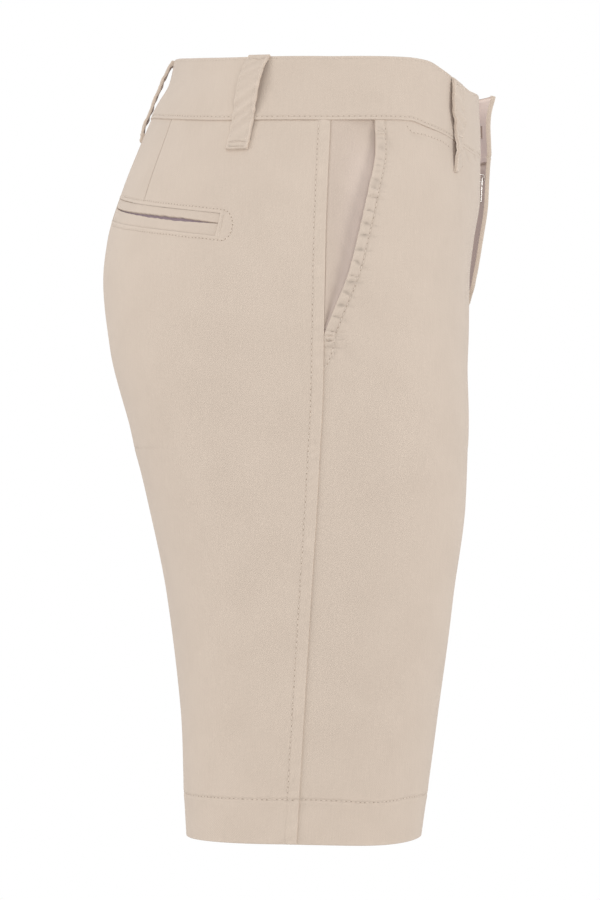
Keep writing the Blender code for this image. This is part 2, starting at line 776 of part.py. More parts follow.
def fly():
    """The facing sewn behind the left front, and the closed zip: a tape on each side of its coil."""
    fly_strip(
        "fly_facing",
        [-FLY_OVERLAP + SEAM_GAP, -3.0, 3.0, 9.0, 14.0, 19.0, 24.0, 30.0],
        -36.0,
        FLY_FACING_THICK,
        lambda z, past: left_lift(z, past) - UNDER_FRONT,
    )
    fly_strip(
        "zip_tape_right",
        [-10.0, -2.0, ZIP_CENTRE - ZIP_COIL_HALF_WIDTH - SEAM_GAP],
        ZIP_TAPE_TOP_Z,
        ZIP_TAPE_THICK,
        lambda z, past: -UNDER_FRONT,
        coil_nylon(),
    )
    fly_strip(
        "zip_tape_left",
        [ZIP_CENTRE + ZIP_COIL_HALF_WIDTH + SEAM_GAP, 19.0, 26.0],
        ZIP_TAPE_TOP_Z,
        ZIP_TAPE_THICK,
        lambda z, past: min(-0.5, left_lift(z, past) - UNDER_FRONT - FLY_FACING_THICK - 0.4),
        coil_nylon(),
    )
    fly_strip(
        "zip_chain",
        [ZIP_CENTRE - ZIP_COIL_HALF_WIDTH, ZIP_CENTRE, ZIP_CENTRE + ZIP_COIL_HALF_WIDTH],
        SLIDER_TOP_Z - SLIDER_LENGTH - SEAM_GAP,
        ZIP_COIL_THICK,
        lambda z, past: -0.3,
        coil_nylon(),
    )


def zip_pivot():
    """The place that the pull tab hangs from."""
    length = girth("front", PULL_PIVOT_Z)
    return skin("front", PULL_PIVOT_Z, length + ZIP_CENTRE, PULL_PIVOT_OUT)


# A box by its middle and its three sizes.
Block = namedtuple("Block", "x y z wide deep tall")


def block_mesh(name, block):
    mesh = bpy.data.meshes.new(name)
    bm = bmesh.new()
    made = bmesh.ops.create_cube(bm, size=MM)
    bmesh.ops.scale(bm, vec=Vector((block.wide, block.deep, block.tall)), verts=made["verts"])
    place = Vector((block.x, block.y, block.z)) * MM
    bmesh.ops.translate(bm, vec=place, verts=made["verts"])
    bm.to_mesh(mesh)
    bm.free()
    return mesh


def join_boxes(name, blocks, origin):
    """Metal boxes that overlap, joined into one solid whose own origin is at the given place."""
    obj = add_object(name, block_mesh(name, blocks[0]), nickel(), smooth=False)
    obj.location = origin * MM
    for index, block in enumerate(blocks[1:]):
        tool_name = f"{name}_tool_{index}"
        tool = bpy.data.objects.new(tool_name, block_mesh(tool_name, block))
        tool.parent = obj
        tool.hide_render = True
        tool.display_type = "WIRE"
        cutters.objects.link(tool)
        union = obj.modifiers.new(tool_name, "BOOLEAN")
        union.operation = "UNION"
        union.object = tool
    return obj


def zip_slider_and_pull():
    """The slider with its bridge, and the tab that hangs from the bridge. Places are from the tab's
    pivot, and outwards is -Y."""
    pivot = zip_pivot()
    body_z = SLIDER_TOP_Z - SLIDER_LENGTH / 2 - PULL_PIVOT_Z
    body_y = SLIDER_FACE + SLIDER_THICK / 2
    join_boxes(
        "zip_slider",
        [
            Block(0.0, body_y, body_z, SLIDER_WIDTH, SLIDER_THICK, SLIDER_LENGTH),
            Block(0.0, 0.3, 2.1, 1.4, 3.8, 1.2),
            Block(0.0, 0.3, -2.3, 1.4, 3.8, 1.2),
            Block(0.0, -1.2, -0.1, 1.4, 0.8, 5.6),
        ],
        pivot,
    )
    rail = (PULL_WIDTH - PULL_EYE) / 2
    rail_x = (PULL_EYE + rail) / 2
    tab_top = -3.4
    tab = join_boxes(
        "zip_pull_tab",
        [
            Block(0.0, 0.0, 0.0, PULL_WIDTH, PULL_THICK, 1.2),
            Block(-rail_x, 0.0, -1.9, rail, PULL_THICK, 3.2),
            Block(rail_x, 0.0, -1.9, rail, PULL_THICK, 3.2),
            Block(0.0, 0.0, (tab_top - PULL_DROP) / 2, PULL_WIDTH, PULL_THICK, PULL_DROP + tab_top),
        ],
        pivot,
    )
    tab.rotation_euler.x = math.radians(PULL_LEAN)


# ---------------------------------------------------------------- the waistband's hidden hook and bar
def waist_hook_and_bar():
    """A flat hook on the inside of the left end reaches round a bar on the right underlap."""
    inside = WAISTBAND_THICK - WAISTBAND_PROUD + SEAM_GAP
    tongue = left_lift(HOOK_Z, 16.0) - inside - 3.0
    rows = []
    for z in between(HOOK_Z + HOOK_WIDTH / 2, HOOK_Z - HOOK_WIDTH / 2, 3):
        line = []
        for past in (25.0, 20.0, 15.0):
            line.append(skin("front", z, girth("front", z) + past, left_lift(z, past) - inside))
        for past, out in [(14.2, tongue + 2.1), (14.2, tongue + 0.8), (15.0, tongue), (19.0, tongue)]:
            line.append(skin("front", z, girth("front", z) + past, out))
        rows.append(line)
    cloth_wall("waist_hook", rows, 0.6, finish=nickel())
    centre = skin("front", HOOK_Z, girth("front", HOOK_Z) + 17.0, tongue + 1.2)
    foot = HOOK_WIDTH / 2 + 1.6
    join_boxes(
        "waist_bar",
        [
            Block(0.0, 0.0, 0.0, 1.2, 0.6, 2 * foot),
            Block(0.0, 0.75, foot, 1.2, 2.1, 1.4),
            Block(0.0, 0.75, -foot, 1.2, 2.1, 1.4),
        ],
        centre,
    )


cutters = bpy.data.collections.new("cutters")
clear_scene()
bpy.context.scene.collection.children.link(cutters)
front_panels()
back_panels()
pocket_facings()
back_pockets()
waistband()
belt_loops()
fly()
zip_slider_and_pull()
waist_hook_and_bar()
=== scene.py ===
# %% [markdown]
# # Bermuda shorts in sand-coloured twill
# A pair of knee-length shorts is sewn from flat pieces of cotton twill: two fronts, two backs, a
# waistband in two halves, belt loops, and the small pieces of the pockets and the fly. Here each
# cut piece is a thin shell that follows one shared skin, so that the pieces meet along their
# seams. The skin could be sculpted or simulated, but then seams, pockets and stitches would have
# to be found on it again. Worked out by formula, any point of it is known by its height and its
# distance from the side seam, and everything that is sewn on can be placed with those two
# numbers.

# %% Load the fixed frame
import math
from collections import namedtuple

import bpy
import numpy as np
from mathutils import Matrix


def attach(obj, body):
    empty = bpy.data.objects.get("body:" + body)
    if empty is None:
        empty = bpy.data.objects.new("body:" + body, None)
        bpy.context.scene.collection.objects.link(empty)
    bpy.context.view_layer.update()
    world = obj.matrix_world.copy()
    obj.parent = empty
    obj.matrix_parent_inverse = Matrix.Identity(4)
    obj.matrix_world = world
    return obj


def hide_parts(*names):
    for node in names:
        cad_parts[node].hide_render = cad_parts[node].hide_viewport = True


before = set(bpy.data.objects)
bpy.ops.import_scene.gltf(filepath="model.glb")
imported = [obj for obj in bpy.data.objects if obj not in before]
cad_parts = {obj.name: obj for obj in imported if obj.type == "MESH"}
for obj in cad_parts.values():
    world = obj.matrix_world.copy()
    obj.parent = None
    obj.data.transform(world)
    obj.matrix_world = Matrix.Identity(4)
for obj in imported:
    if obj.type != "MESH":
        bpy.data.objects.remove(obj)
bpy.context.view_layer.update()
MM = 0.001

# %% [markdown]
# ## Colours and nodes
# All colours are written as the hex values that a colour picker shows, and one function turns
# them into the linear numbers that shaders use. One small function adds a node, and another puts
# an object in the scene. Materials could also be clicked together in the shader editor, but a
# script makes the next one from the same steps.

# %% Colours and nodes
def linear(hex_colour):
    """A hex sRGB colour as linear RGBA."""
    channels = [int(hex_colour[i : i + 2], 16) / 255 for i in (1, 3, 5)]
    return [c / 12.92 if c <= 0.04045 else ((c + 0.055) / 1.055) ** 2.4 for c in channels] + [1.0]


def add_node(tree, kind, values=(), links=(), **settings):
    """Adds a node, sets its properties and input values, and links sockets into it."""
    made = tree.nodes.new(kind)
    for name, setting in settings.items():
        setattr(made, name, setting)
    for name, value in dict(values).items():
        made.inputs[name].default_value = value
    for name, socket in dict(links).items():
        tree.links.new(socket, made.inputs[name])
    return made


def set_ramp(ramp, stops):
    """Gives a colour ramp its stops, as (place, colour) pairs."""
    while len(ramp.elements) < len(stops):
        ramp.elements.new(0.5)
    for element, (place, colour) in zip(ramp.elements, stops):
        element.position, element.color = place, colour


def new_material(name, roughness, **inputs):
    """A material with its principled shader, whose plain values are set on its own sockets."""
    made = bpy.data.materials.new(name)
    made.use_nodes = True
    shader = made.node_tree.nodes["Principled BSDF"]
    shader.inputs["Roughness"].default_value = roughness
    for socket, value in inputs.items():
        shader.inputs[socket.replace("_", " ")].default_value = value
    return made, made.node_tree, shader


def put_in_scene(name, data):
    """A new object that holds a mesh, a lamp or a camera."""
    made = bpy.data.objects.new(name, data)
    bpy.context.scene.collection.objects.link(made)
    return made


print("white paper, linear:", [round(c, 2) for c in linear("#F2F0EC")])

# %% [markdown]
# ## The camera and the light
# Plain cloth is best shown in a light tent: a white backdrop behind the shorts and greyer walls
# on the camera's side. Soft boxes to the front and the back of the shorts, one overhead and one
# beside the camera give just enough direction for folds and stitches to show. A long lens from
# far away keeps the leg's sides upright. A panorama of a real studio would light the shorts too,
# but grey walls and four lamps can be set one by one.

# %% Camera
camera = put_in_scene("camera", bpy.data.cameras.new("camera"))
camera.location = (-3.3, 0.0184, -0.2256)
camera.rotation_euler = (math.radians(90), 0.0, math.radians(-90))
camera.data.lens = 200.0
camera.data.sensor_width = 36.0
camera.data.clip_end = 30.0
bpy.context.scene.camera = camera
print("camera:", camera.data.lens, "mm lens,", round(-camera.location.x, 2), "m to the side")

# %% Light
bpy.context.scene.view_settings.view_transform = "Standard"
world = bpy.data.worlds.new("light_tent")
world.use_nodes = True
tent = world.node_tree
towards_backdrop = add_node(
    tent,
    "ShaderNodeSeparateXYZ",
    links={"Vector": add_node(tent, "ShaderNodeTexCoord").outputs["Generated"]},
)
across = add_node(
    tent, "ShaderNodeMapRange", {"From Min": -1.0}, {"Value": towards_backdrop.outputs["X"]}
)
walls = add_node(tent, "ShaderNodeValToRGB", links={"Fac": across.outputs["Result"]})
TENT = [(0.0, 0.52), (0.45, 0.58), (0.8, 1.0), (1.0, 1.0)]  # places towards the backdrop, and greys
set_ramp(walls.color_ramp, [(place, (grey, grey, grey, 1.0)) for place, grey in TENT])
tent.links.new(walls.outputs["Color"], tent.nodes["Background"].inputs["Color"])
tent.nodes["Background"].inputs["Strength"].default_value = 1.0
bpy.context.scene.world = world

Lamp = namedtuple("Lamp", "name place aim size watts")
LAMPS = [
    Lamp("overhead_softbox", (-1.3, 0.9, 2.0), (0.0, 0.02, -0.2), 0.9, 10.0),
    Lamp("front_softbox", (-0.85, -2.0, 0.4), (0.0, 0.0, -0.2), 1.0, 17.0),
    Lamp("back_softbox", (-0.85, 2.1, 0.4), (0.0, 0.0, -0.2), 1.0, 16.0),
    Lamp("camera_side_fill", (-2.4, -0.25, 0.15), (0.0, 0.0, -0.2), 0.8, 15.0),
]
for lamp in LAMPS:
    data = bpy.data.lights.new(lamp.name, "AREA")
    data.size, data.energy = lamp.size, lamp.watts
    light = put_in_scene(lamp.name, data)
    light.location = lamp.place
    towards = np.array(lamp.aim) - np.array(lamp.place)
    light.rotation_euler = (
        math.atan2(math.hypot(towards[0], towards[1]), -towards[2]),
        0.0,
        math.atan2(-towards[0], towards[1]),
    )
print("lamps:", [lamp.name for lamp in LAMPS])

# %% [markdown]
# ## Cotton twill
# Twill is woven so that each weft thread steps one warp thread sideways, which gives fine
# diagonal ribs. This one is brushed and garment-dyed: the nap softens the ribs, and washing
# leaves faint lighter and darker patches. Raised edges and bulges are lighter, partly because dye
# wears off them and partly as a painted highlight, and painted shade darkens the hollows of
# seams, creases and puckers. Each point of the cloth carries one number for both. Real ribs are
# 0.6 mm apart. They are drawn 1.2 mm apart, because finer ones would not show. The cloth has its
# own coordinates in metres along the weft and the warp, so the ribs follow each piece as they do
# on cut cloth. Thin cloth also lets some light through, which fills the shade inside. That is
# drawn as a faint painted glow, and a second number, called inside, says how much of it each
# point gets.
# Letting light pass through the shells themselves would be truer, but it needs many more samples.

# %% Twill
RIB_SPACING, RIB_HEIGHT = 1.2, 0.25  # mm, drawn coarser than life
NAP_SPECKLE = 0.9  # mm
SLUB_LENGTH, SLUB_WIDTH = 14.0, 0.9  # mm, the uneven yarns
WASH_PATCH = 30.0  # mm
WAVE_BAND = 0.444  # how far apart the wave texture draws its diagonal bands at a scale of 1
YARN_CONTRAST, WEAR_AND_SHADE_CONTRAST = 0.045, 0.26  # how far the tones go either side of the middle one
LIGHT_THROUGH, GLOW_COLOUR = 0.4, "#AEA3A3"  # what thin cloth lets through of the light outside


def twill(name, light, mid, dark):
    """Cotton twill of three near colours, with its ribs, yarns, nap and washed patches."""
    material, tree, shader = new_material(
        name, 0.92, Sheen_Weight=0.12, Sheen_Roughness=0.55, Specular_IOR_Level=0.18
    )
    cloth = add_node(tree, "ShaderNodeUVMap", uv_map="cloth")
    place = add_node(tree, "ShaderNodeTexCoord")
    patches = add_node(
        tree,
        "ShaderNodeTexNoise",
        {"Scale": 1 / (WASH_PATCH * MM), "Detail": 4.0, "Roughness": 0.5},
        {"Vector": place.outputs["Object"]},
    )
    patchy_tone = add_node(tree, "ShaderNodeValToRGB", links={"Fac": patches.outputs["Fac"]})
    set_ramp(patchy_tone.color_ramp, [(0.2, linear(dark)), (0.5, linear(mid)), (0.8, linear(light))])
    yarns = add_node(
        tree,
        "ShaderNodeMapping",
        {"Scale": (1 / (SLUB_WIDTH * MM), 1 / (SLUB_LENGTH * MM), 1.0)},
        {"Vector": cloth.outputs["UV"]},
    )
    slubs = add_node(
        tree,
        "ShaderNodeTexNoise",
        {"Scale": 1.0, "Detail": 2.0, "Roughness": 0.6},
        {"Vector": yarns.outputs["Vector"]},
    )
    nap = add_node(
        tree,
        "ShaderNodeTexNoise",
        {"Scale": 1 / (NAP_SPECKLE * MM), "Detail": 2.0, "Roughness": 0.7},
        {"Vector": cloth.outputs["UV"]},
    )
    yarn_tone = add_node(
        tree,
        "ShaderNodeMix",
        {"Factor": 0.5},
        {"A": slubs.outputs["Fac"], "B": nap.outputs["Fac"]},
    )
    tone = add_node(
        tree,
        "ShaderNodeMapRange",
        {
            **{"From Min": 0.25, "From Max": 0.75},
            **{"To Min": 1 - YARN_CONTRAST, "To Max": 1 + YARN_CONTRAST},
        },
        {"Value": yarn_tone.outputs["Result"]},
    )
    # This number is both wear and painted light: lighter where dye wears off raised edges and as a
    # painted highlight on bulges, darker with painted shade in the hollows of seams, creases and
    # puckers.
    worn_and_shaded = add_node(tree, "ShaderNodeAttribute", attribute_name="wear")
    wear_and_shade_tone = add_node(
        tree,
        "ShaderNodeMapRange",
        {
            **{"From Min": -1.0, "From Max": 1.0},
            **{"To Min": 1 - WEAR_AND_SHADE_CONTRAST, "To Max": 1 + WEAR_AND_SHADE_CONTRAST},
        },
        {"Value": worn_and_shaded.outputs["Fac"]},
    )
    inside = add_node(tree, "ShaderNodeAttribute", attribute_name="inside")
    through = add_node(
        tree,
        "ShaderNodeMath",
        {1: LIGHT_THROUGH},
        {0: inside.outputs["Fac"]},
        operation="MULTIPLY",
    )
    shader.inputs["Emission Color"].default_value = linear(GLOW_COLOUR)
    tree.links.new(through.outputs["Value"], shader.inputs["Emission Strength"])
    strength = add_node(
        tree,
        "ShaderNodeMath",
        links={0: tone.outputs["Result"], 1: wear_and_shade_tone.outputs["Result"]},
        operation="MULTIPLY",
    )
    colour = add_node(
        tree,
        "ShaderNodeVectorMath",
        links={"Vector": patchy_tone.outputs["Color"], "Scale": strength.outputs["Value"]},
        operation="SCALE",
    )
    ribs = add_node(
        tree,
        "ShaderNodeTexWave",
        {
            **{"Scale": WAVE_BAND / (RIB_SPACING * MM), "Distortion": 0.8},
            **{"Detail": 1.0, "Detail Scale": 2.0},
        },
        {"Vector": cloth.outputs["UV"]},
        bands_direction="DIAGONAL",
    )
    relief = add_node(
        tree,
        "ShaderNodeMix",
        {"Factor": 0.6},
        {"A": ribs.outputs["Fac"], "B": yarn_tone.outputs["Result"]},
    )
    bump = add_node(
        tree,
        "ShaderNodeBump",
        {"Strength": 0.55, "Distance": RIB_HEIGHT * MM},
        {"Height": relief.outputs["Result"]},
    )
    tree.links.new(colour.outputs["Vector"], shader.inputs["Base Color"])
    tree.links.new(bump.outputs["Normal"], shader.inputs["Normal"])
    return material


shell_twill = twill("sand_cotton_twill_outside", "#C9BAAC", "#C7B8AA", "#C4B5A7")
# The facing's twill is a darker, more purple copy of the outer one: painted shade for a facing that
# lies back in the pocket's mouth.
shaded_facing_twill = twill("sand_cotton_twill_pocket_facing", "#C8B8AA", "#C4B4A7", "#C0B0A3")
# The pocketing is a real piece, but its dark purple is painted shade, as it is only seen in the
# shade of the welt pocket's slit.
shaded_lining_twill = twill("cotton_pocketing_in_shade", "#93838A", "#8C7C83", "#85757C")
print("twill:", shell_twill.name, shaded_facing_twill.name, shaded_lining_twill.name)

# %% [markdown]
# ## Thread, tape, coil and metal
# Sewing thread is spun polyester in the cloth's colour, with a slight shine. The zip's tape is
# woven polyester, its coil is moulded nylon, and the slider and tab are cast zinc with a satin
# nickel plate. The hook and bar are stamped steel with a duller plate. All of them are small, so
# a speckle of two near colours is enough: the shade between fibres, or what a tumbling drum
# leaves on metal.

# %% Thread, tape, coil and metal
def speckled(name, roughness, colours, grain, detail, relief, **inputs):
    """Two near colours in specks as large as a grain in mm. The specks also stand in relief, which
    is given as a bump's strength and its height in mm."""
    material, tree, shader = new_material(name, roughness, **inputs)
    place = add_node(tree, "ShaderNodeTexCoord")
    specks = add_node(
        tree,
        "ShaderNodeTexNoise",
        {"Scale": 1 / (grain * MM), "Detail": detail},
        {"Vector": place.outputs["Object"]},
    )
    tone = add_node(
        tree,
        "ShaderNodeMix",
        {"A": linear(colours[0]), "B": linear(colours[1])},
        {"Factor": specks.outputs["Fac"]},
        data_type="RGBA",
    )
    bump = add_node(
        tree,
        "ShaderNodeBump",
        {"Strength": relief[0], "Distance": relief[1] * MM},
        {"Height": specks.outputs["Fac"]},
    )
    tree.links.new(tone.outputs["Result"], shader.inputs["Base Color"])
    tree.links.new(bump.outputs["Normal"], shader.inputs["Normal"])
    return material


def plain_fibre(name, colour, shade, grain, roughness):
    """Thread, tape or coil: one colour broken by the shade between its fibres."""
    return speckled(name, roughness, (colour, shade), grain, 2.0, (0.4, 0.1), Sheen_Weight=0.1)


def tumbled_metal(name, bright, dull, roughness):
    """Metal from a tumbling drum, with a fine random brush."""
    return speckled(name, roughness, (bright, dull), 0.4, 3.0, (0.15, 0.05), Metallic=1.0)


thread = plain_fibre("spun_polyester_thread", "#DDD0C3", "#C9BAAB", 0.5, 0.6)
needle_shade = plain_fibre("needle_holes_in_shade", "#A3907F", "#8F7D6E", 0.8, 0.95)
zip_tape = plain_fibre("woven_polyester_tape", "#CDBDAE", "#BFAE9F", 0.7, 0.85)
zip_coil = plain_fibre("moulded_nylon_coil", "#C9B9AA", "#B5A596", 0.6, 0.45)
nickel = tumbled_metal("satin_nickel_plated_zinc", "#F1EFEC", "#DAD7D2", 0.3)
hook_steel = tumbled_metal("dull_nickel_plated_steel", "#CFC7BF", "#BFB7AF", 0.55)
print("fibres and metal:", thread.name, zip_tape.name, zip_coil.name, nickel.name, hook_steel.name)

# %% [markdown]
# ## The skin that all pieces follow
# The tables hold the sizes in millimetres that a tailor's dummy would give: how wide and deep the
# shorts are at each height. A smooth curve through each column gives every height between. A
# sculpted body could carry the same sizes, but in a table one wrong size is easy to find and to
# correct.

# %% Tables
HEM_Z, HEM_DEPTH = -472.0, 30.0
CROTCH_Z, CROTCH_Y = -225.0, 8.0
INSEAM_SPREAD, INSEAM_Y_AT_HEM = 30.0, 15.2
RISE = {"front": (-115.0, 2.4), "back": (-60.0, 2.6)}  # where the centre seam turns in, how fast
LEG_ROUNDNESS = 2.15  # 2 would be an ellipse, and more is squarer

Level = namedtuple("Level", "z half_width front back side_y front_peak back_peak")
LEVELS = [
    Level(35.0, 153.0, 99.2, 99.5, -2.0, 0.0, 0.0),
    Level(15.0, 154.0, 99.2, 103.7, -1.7, 0.0, 0.0),
    Level(0.0, 156.0, 99.4, 112.0, -1.3, 0.0, 4.0),
    Level(-20.0, 160.0, 100.3, 120.7, -0.7, 2.0, 12.0),
    Level(-60.0, 174.0, 99.6, 135.0, 1.2, 18.0, 42.0),
    Level(-90.0, 183.0, 94.7, 143.0, 2.3, 38.0, 60.0),
    Level(-115.0, 188.0, 91.6, 145.4, 2.8, 52.0, 70.0),
    Level(-160.0, 191.0, 90.5, 140.6, 3.6, 74.0, 84.0),
    Level(-195.0, 190.5, 90.2, 132.4, 4.3, 87.0, 92.0),
    Level(-225.0, 189.5, 89.6, 124.4, 5.9, 94.0, 95.0),
    Level(-260.0, 188.0, 88.6, 115.7, 7.8, 97.0, 98.0),
    Level(-320.0, 185.0, 80.6, 104.6, 11.6, 100.0, 100.5),
    Level(-390.0, 181.5, 71.6, 97.0, 15.8, 102.5, 102.5),
    Level(-472.0, 178.0, 60.2, 91.2, 20.6, 104.0, 104.0),
]
BandEdge = namedtuple("BandEdge", "share top seam")
BAND = {
    "front": [
        BandEdge(0.0, 22.3, -18.4),
        BandEdge(0.25, 23.0, -17.5),
        BandEdge(0.34, 22.0, -21.2),
        BandEdge(0.43, 17.4, -24.8),
        BandEdge(0.55, 10.8, -30.8),
        BandEdge(0.70, 6.7, -34.6),
        BandEdge(1.0, 7.2, -35.0),
    ],
    "back": [
        BandEdge(0.0, 22.3, -18.4),
        BandEdge(0.30, 23.4, -17.3),
        BandEdge(0.58, 26.4, -13.4),
        BandEdge(0.80, 29.4, -9.8),
        BandEdge(1.0, 31.0, -8.5),
    ],
}


# %% Curves through the tables
def curve_through(knots):
    """A function that passes smoothly through (place, value) pairs and never overshoots them."""
    places, values = np.array(sorted(knots), float).T
    runs = np.diff(places)
    rises = np.diff(values) / runs
    inner = [0.0 if a * b <= 0 else 2 * a * b / (a + b) for a, b in zip(rises, rises[1:])]
    slopes = np.array([rises[0], *inner, rises[-1]])

    def value_at(place):
        place = np.asarray(place, float)
        i = np.clip(np.searchsorted(places, place, side="right") - 1, 0, len(rises) - 1)
        t = np.clip((place - places[i]) / runs[i], 0.0, 1.0)
        return (
            (2 * t**3 - 3 * t**2 + 1) * values[i]
            + (t**3 - 2 * t**2 + t) * runs[i] * slopes[i]
            + (3 * t**2 - 2 * t**3) * values[i + 1]
            + (t**3 - t**2) * runs[i] * slopes[i + 1]
        )

    return value_at


def column(rows, key, name):
    """The curve through one column of a table, from the column that it is looked up by."""
    return curve_through([(getattr(row, key), getattr(row, name)) for row in rows])


def fade(value, start, end):
    """0 before start, 1 after end, smooth between. Start may be above end."""
    t = np.clip((np.asarray(value, float) - start) / (end - start), 0.0, 1.0)
    return t * t * (3 - 2 * t)


half_width_at = column(LEVELS, "z", "half_width")
reach_at = {"front": column(LEVELS, "z", "front"), "back": column(LEVELS, "z", "back")}
peak_at = {"front": column(LEVELS, "z", "front_peak"), "back": column(LEVELS, "z", "back_peak")}
side_y_at = column(LEVELS, "z", "side_y")
band_top_at = {panel: column(rows, "share", "top") for panel, rows in BAND.items()}
band_seam_at = {panel: column(rows, "share", "seam") for panel, rows in BAND.items()}
print("waist seam at the side:", float(band_seam_at["front"](0.0)), "mm")

# %% [markdown]
# A level section of one quarter is drawn as a rounded arc outside and an elliptic arc in towards
# the other leg. Sections are worked out once for every millimetre of height and kept in a grid,
# and a point of the skin is then read off the grid, which is quick enough for a hundred thousand
# points.

# %% Sections
SIGN = {"front": -1.0, "back": 1.0}
TOP_Z, STEPS_ROUND, ARC_POINTS = 36.0, 420, 161
HEIGHTS = np.arange(TOP_Z, HEM_Z - 6.0, -1.0)  # a little past the hem, for the normals there
LEAST_WIDTH, LEAST_SWEEP = 0.5, math.radians(5.0)  # the smallest inner arc that is drawn


def section(panel, z):
    """The quarter section at height z, from the side seam inwards, and the length run along it."""
    peak, half_width = float(peak_at[panel](z)), float(half_width_at(z))
    side_y, peak_y = float(side_y_at(z)), SIGN[panel] * float(reach_at[panel](z))
    angle = np.linspace(0.0, math.pi / 2, ARC_POINTS)
    across = np.clip(np.cos(angle), 0.0, 1.0) ** (2 / LEG_ROUNDNESS)
    x = -(peak + (half_width - peak) * across)
    y = side_y + (peak_y - side_y) * np.sin(angle) ** (2 / LEG_ROUNDNESS)
    below = max(0.0, (CROTCH_Z - z) / (CROTCH_Z - HEM_Z))
    width = peak - INSEAM_SPREAD * math.sqrt(below)
    if width > LEAST_WIDTH:
        turn, power = RISE[panel]
        t = min(max(0.0, (turn - z) / (turn - CROTCH_Z)), 1.0)
        inner_y = CROTCH_Y + (peak_y - CROTCH_Y) * (1 - t**power) ** (1 / power)
        if z <= CROTCH_Z:
            inner_y = CROTCH_Y + (INSEAM_Y_AT_HEM - CROTCH_Y) * below
        inward = (inner_y - CROTCH_Y) / (peak_y - CROTCH_Y)
        sweep = math.acos(min(max(inward, 0.0), math.cos(LEAST_SWEEP)))
        angle = np.linspace(0.0, sweep, ARC_POINTS)[1:]
        deep = (1 - np.cos(angle)) / (1 - math.cos(sweep))
        x = np.append(x, -(peak - width * np.sin(angle) / math.sin(sweep)))
        y = np.append(y, peak_y + (inner_y - peak_y) * deep)
    run = np.append(0.0, np.cumsum(np.hypot(np.diff(x), np.diff(y))))
    evenly = np.linspace(0.0, run[-1], STEPS_ROUND + 1)
    return np.stack([np.interp(evenly, run, x), np.interp(evenly, run, y)], -1), run[-1]


SKIN_GRID, SKIN_GIRTH = {}, {}
for panel in SIGN:
    sections = [section(panel, z) for z in HEIGHTS]
    SKIN_GRID[panel] = np.array([points for points, _ in sections])
    SKIN_GIRTH[panel] = np.array([length for _, length in sections])


def girth(panel, z):
    """The length round the quarter section at height z."""
    return np.interp(-np.asarray(z, float), -HEIGHTS, SKIN_GIRTH[panel])


def bare_skin(panel, z, share):
    """The skin's points at heights z, at shares of the way from the side seam to the inner edge."""
    row = np.clip(TOP_Z - z, 0.0, len(HEIGHTS) - 1.001)
    place = np.clip(share, 0.0, 1.0) * STEPS_ROUND
    r, s = row.astype(int), np.minimum(place.astype(int), STEPS_ROUND - 1)
    down, along = (row - r)[..., None], (place - s)[..., None]
    grid = SKIN_GRID[panel]
    upper = grid[r, s] * (1 - along) + grid[r, s + 1] * along
    lower = grid[r + 1, s] * (1 - along) + grid[r + 1, s + 1] * along
    return np.concatenate([upper * (1 - down) + lower * down, z[..., None]], -1)


HIPS_Z = -115.0
hip_girth = 2 * float(girth("front", HIPS_Z) + girth("back", HIPS_Z))
print("girth at the hips:", round(hip_girth), "mm")

# %% [markdown]
# ## Folds and creases
# Cloth that has been worn and pressed keeps a few long soft troughs. They are listed one by one,
# none like another: where a crease's middle lies, which way it leans, how long and wide it is,
# and how deep. A negative depth is a ridge. A cloth simulation would make folds by itself, but
# not where they belong, and others after each change to the shape.

# %% Creases
Crease = namedtuple("Crease", "panel z share length lean width depth")
CREASES = [
    Crease("front", -196.0, 0.74, 46.0, 50.0, 20.0, 1.6),
    Crease("front", -300.0, 0.52, 90.0, 12.0, 24.0, 1.2),
    Crease("front", -395.0, 0.35, 80.0, -8.0, 22.0, 1.2),
    Crease("back", -236.0, 0.72, 52.0, 50.0, 22.0, 1.8),
    Crease("back", -350.0, 0.42, 95.0, 14.0, 26.0, 1.6),
    Crease("back", -408.0, 0.175, 40.0, 30.0, 11.0, 1.7),
    Crease("front", -208.0, 0.88, 30.0, 62.0, 9.0, 0.7),
    Crease("front", -180.0, 0.90, 24.0, 40.0, 8.0, -0.5),
    Crease("front", -62.0, 0.62, 26.0, 76.0, 7.0, 0.35),
    Crease("front", -240.0, 0.33, 70.0, -4.0, 12.0, 0.35),
    Crease("front", -352.0, 0.66, 44.0, 28.0, 11.0, 0.45),
    Crease("back", -220.0, 0.86, 34.0, 58.0, 10.0, 0.8),
    Crease("back", -252.0, 0.60, 40.0, 68.0, 12.0, 0.5),
    Crease("back", -130.0, 0.34, 44.0, 20.0, 14.0, 0.3),
    Crease("back", -318.0, 0.22, 50.0, 16.0, 10.0, 0.35),
    Crease("back", -388.0, 0.55, 38.0, -22.0, 11.0, 0.45),
]


def beside_fold(up, across, lean):
    """How far a place is along a leaning fold from its middle, and how far to its side."""
    lean = math.radians(lean)
    along = up * math.cos(lean) - across * math.sin(lean)
    return along, up * math.sin(lean) + across * math.cos(lean)


def crease_depth(panel, z, away):
    """How far the creases sink the cloth there, in millimetres."""
    length = girth(panel, z)
    depth, share = np.zeros_like(z), away / length
    for crease in CREASES:
        if crease.panel == panel:
            across = (share - crease.share) * length
            along, beside = beside_fold(z - crease.z, across, crease.lean)
            shape = np.exp(-((along / crease.length) ** 2) - (beside / crease.width) ** 2)
            depth = depth + crease.depth * shape
    return depth


def on_quarter(panel, z, away, out):
    """A point of one quarter of the skin, moved out along the skin's normal."""
    length = girth(panel, z)
    share, step = away / length, 1.5
    near = np.maximum(share - step / length, 0.0)
    far = np.minimum(share + step / length, 1.0)
    round_it = bare_skin(panel, z, far) - bare_skin(panel, z, near)
    top, bottom = np.minimum(z + step, TOP_Z), z - step
    up_it = bare_skin(panel, top, share) - bare_skin(panel, bottom, share)
    normal = np.cross(up_it, round_it) * SIGN[panel]
    normal /= np.linalg.norm(normal, axis=-1, keepdims=True)
    return bare_skin(panel, z, share) + normal * (out - crease_depth(panel, z, away))[..., None]


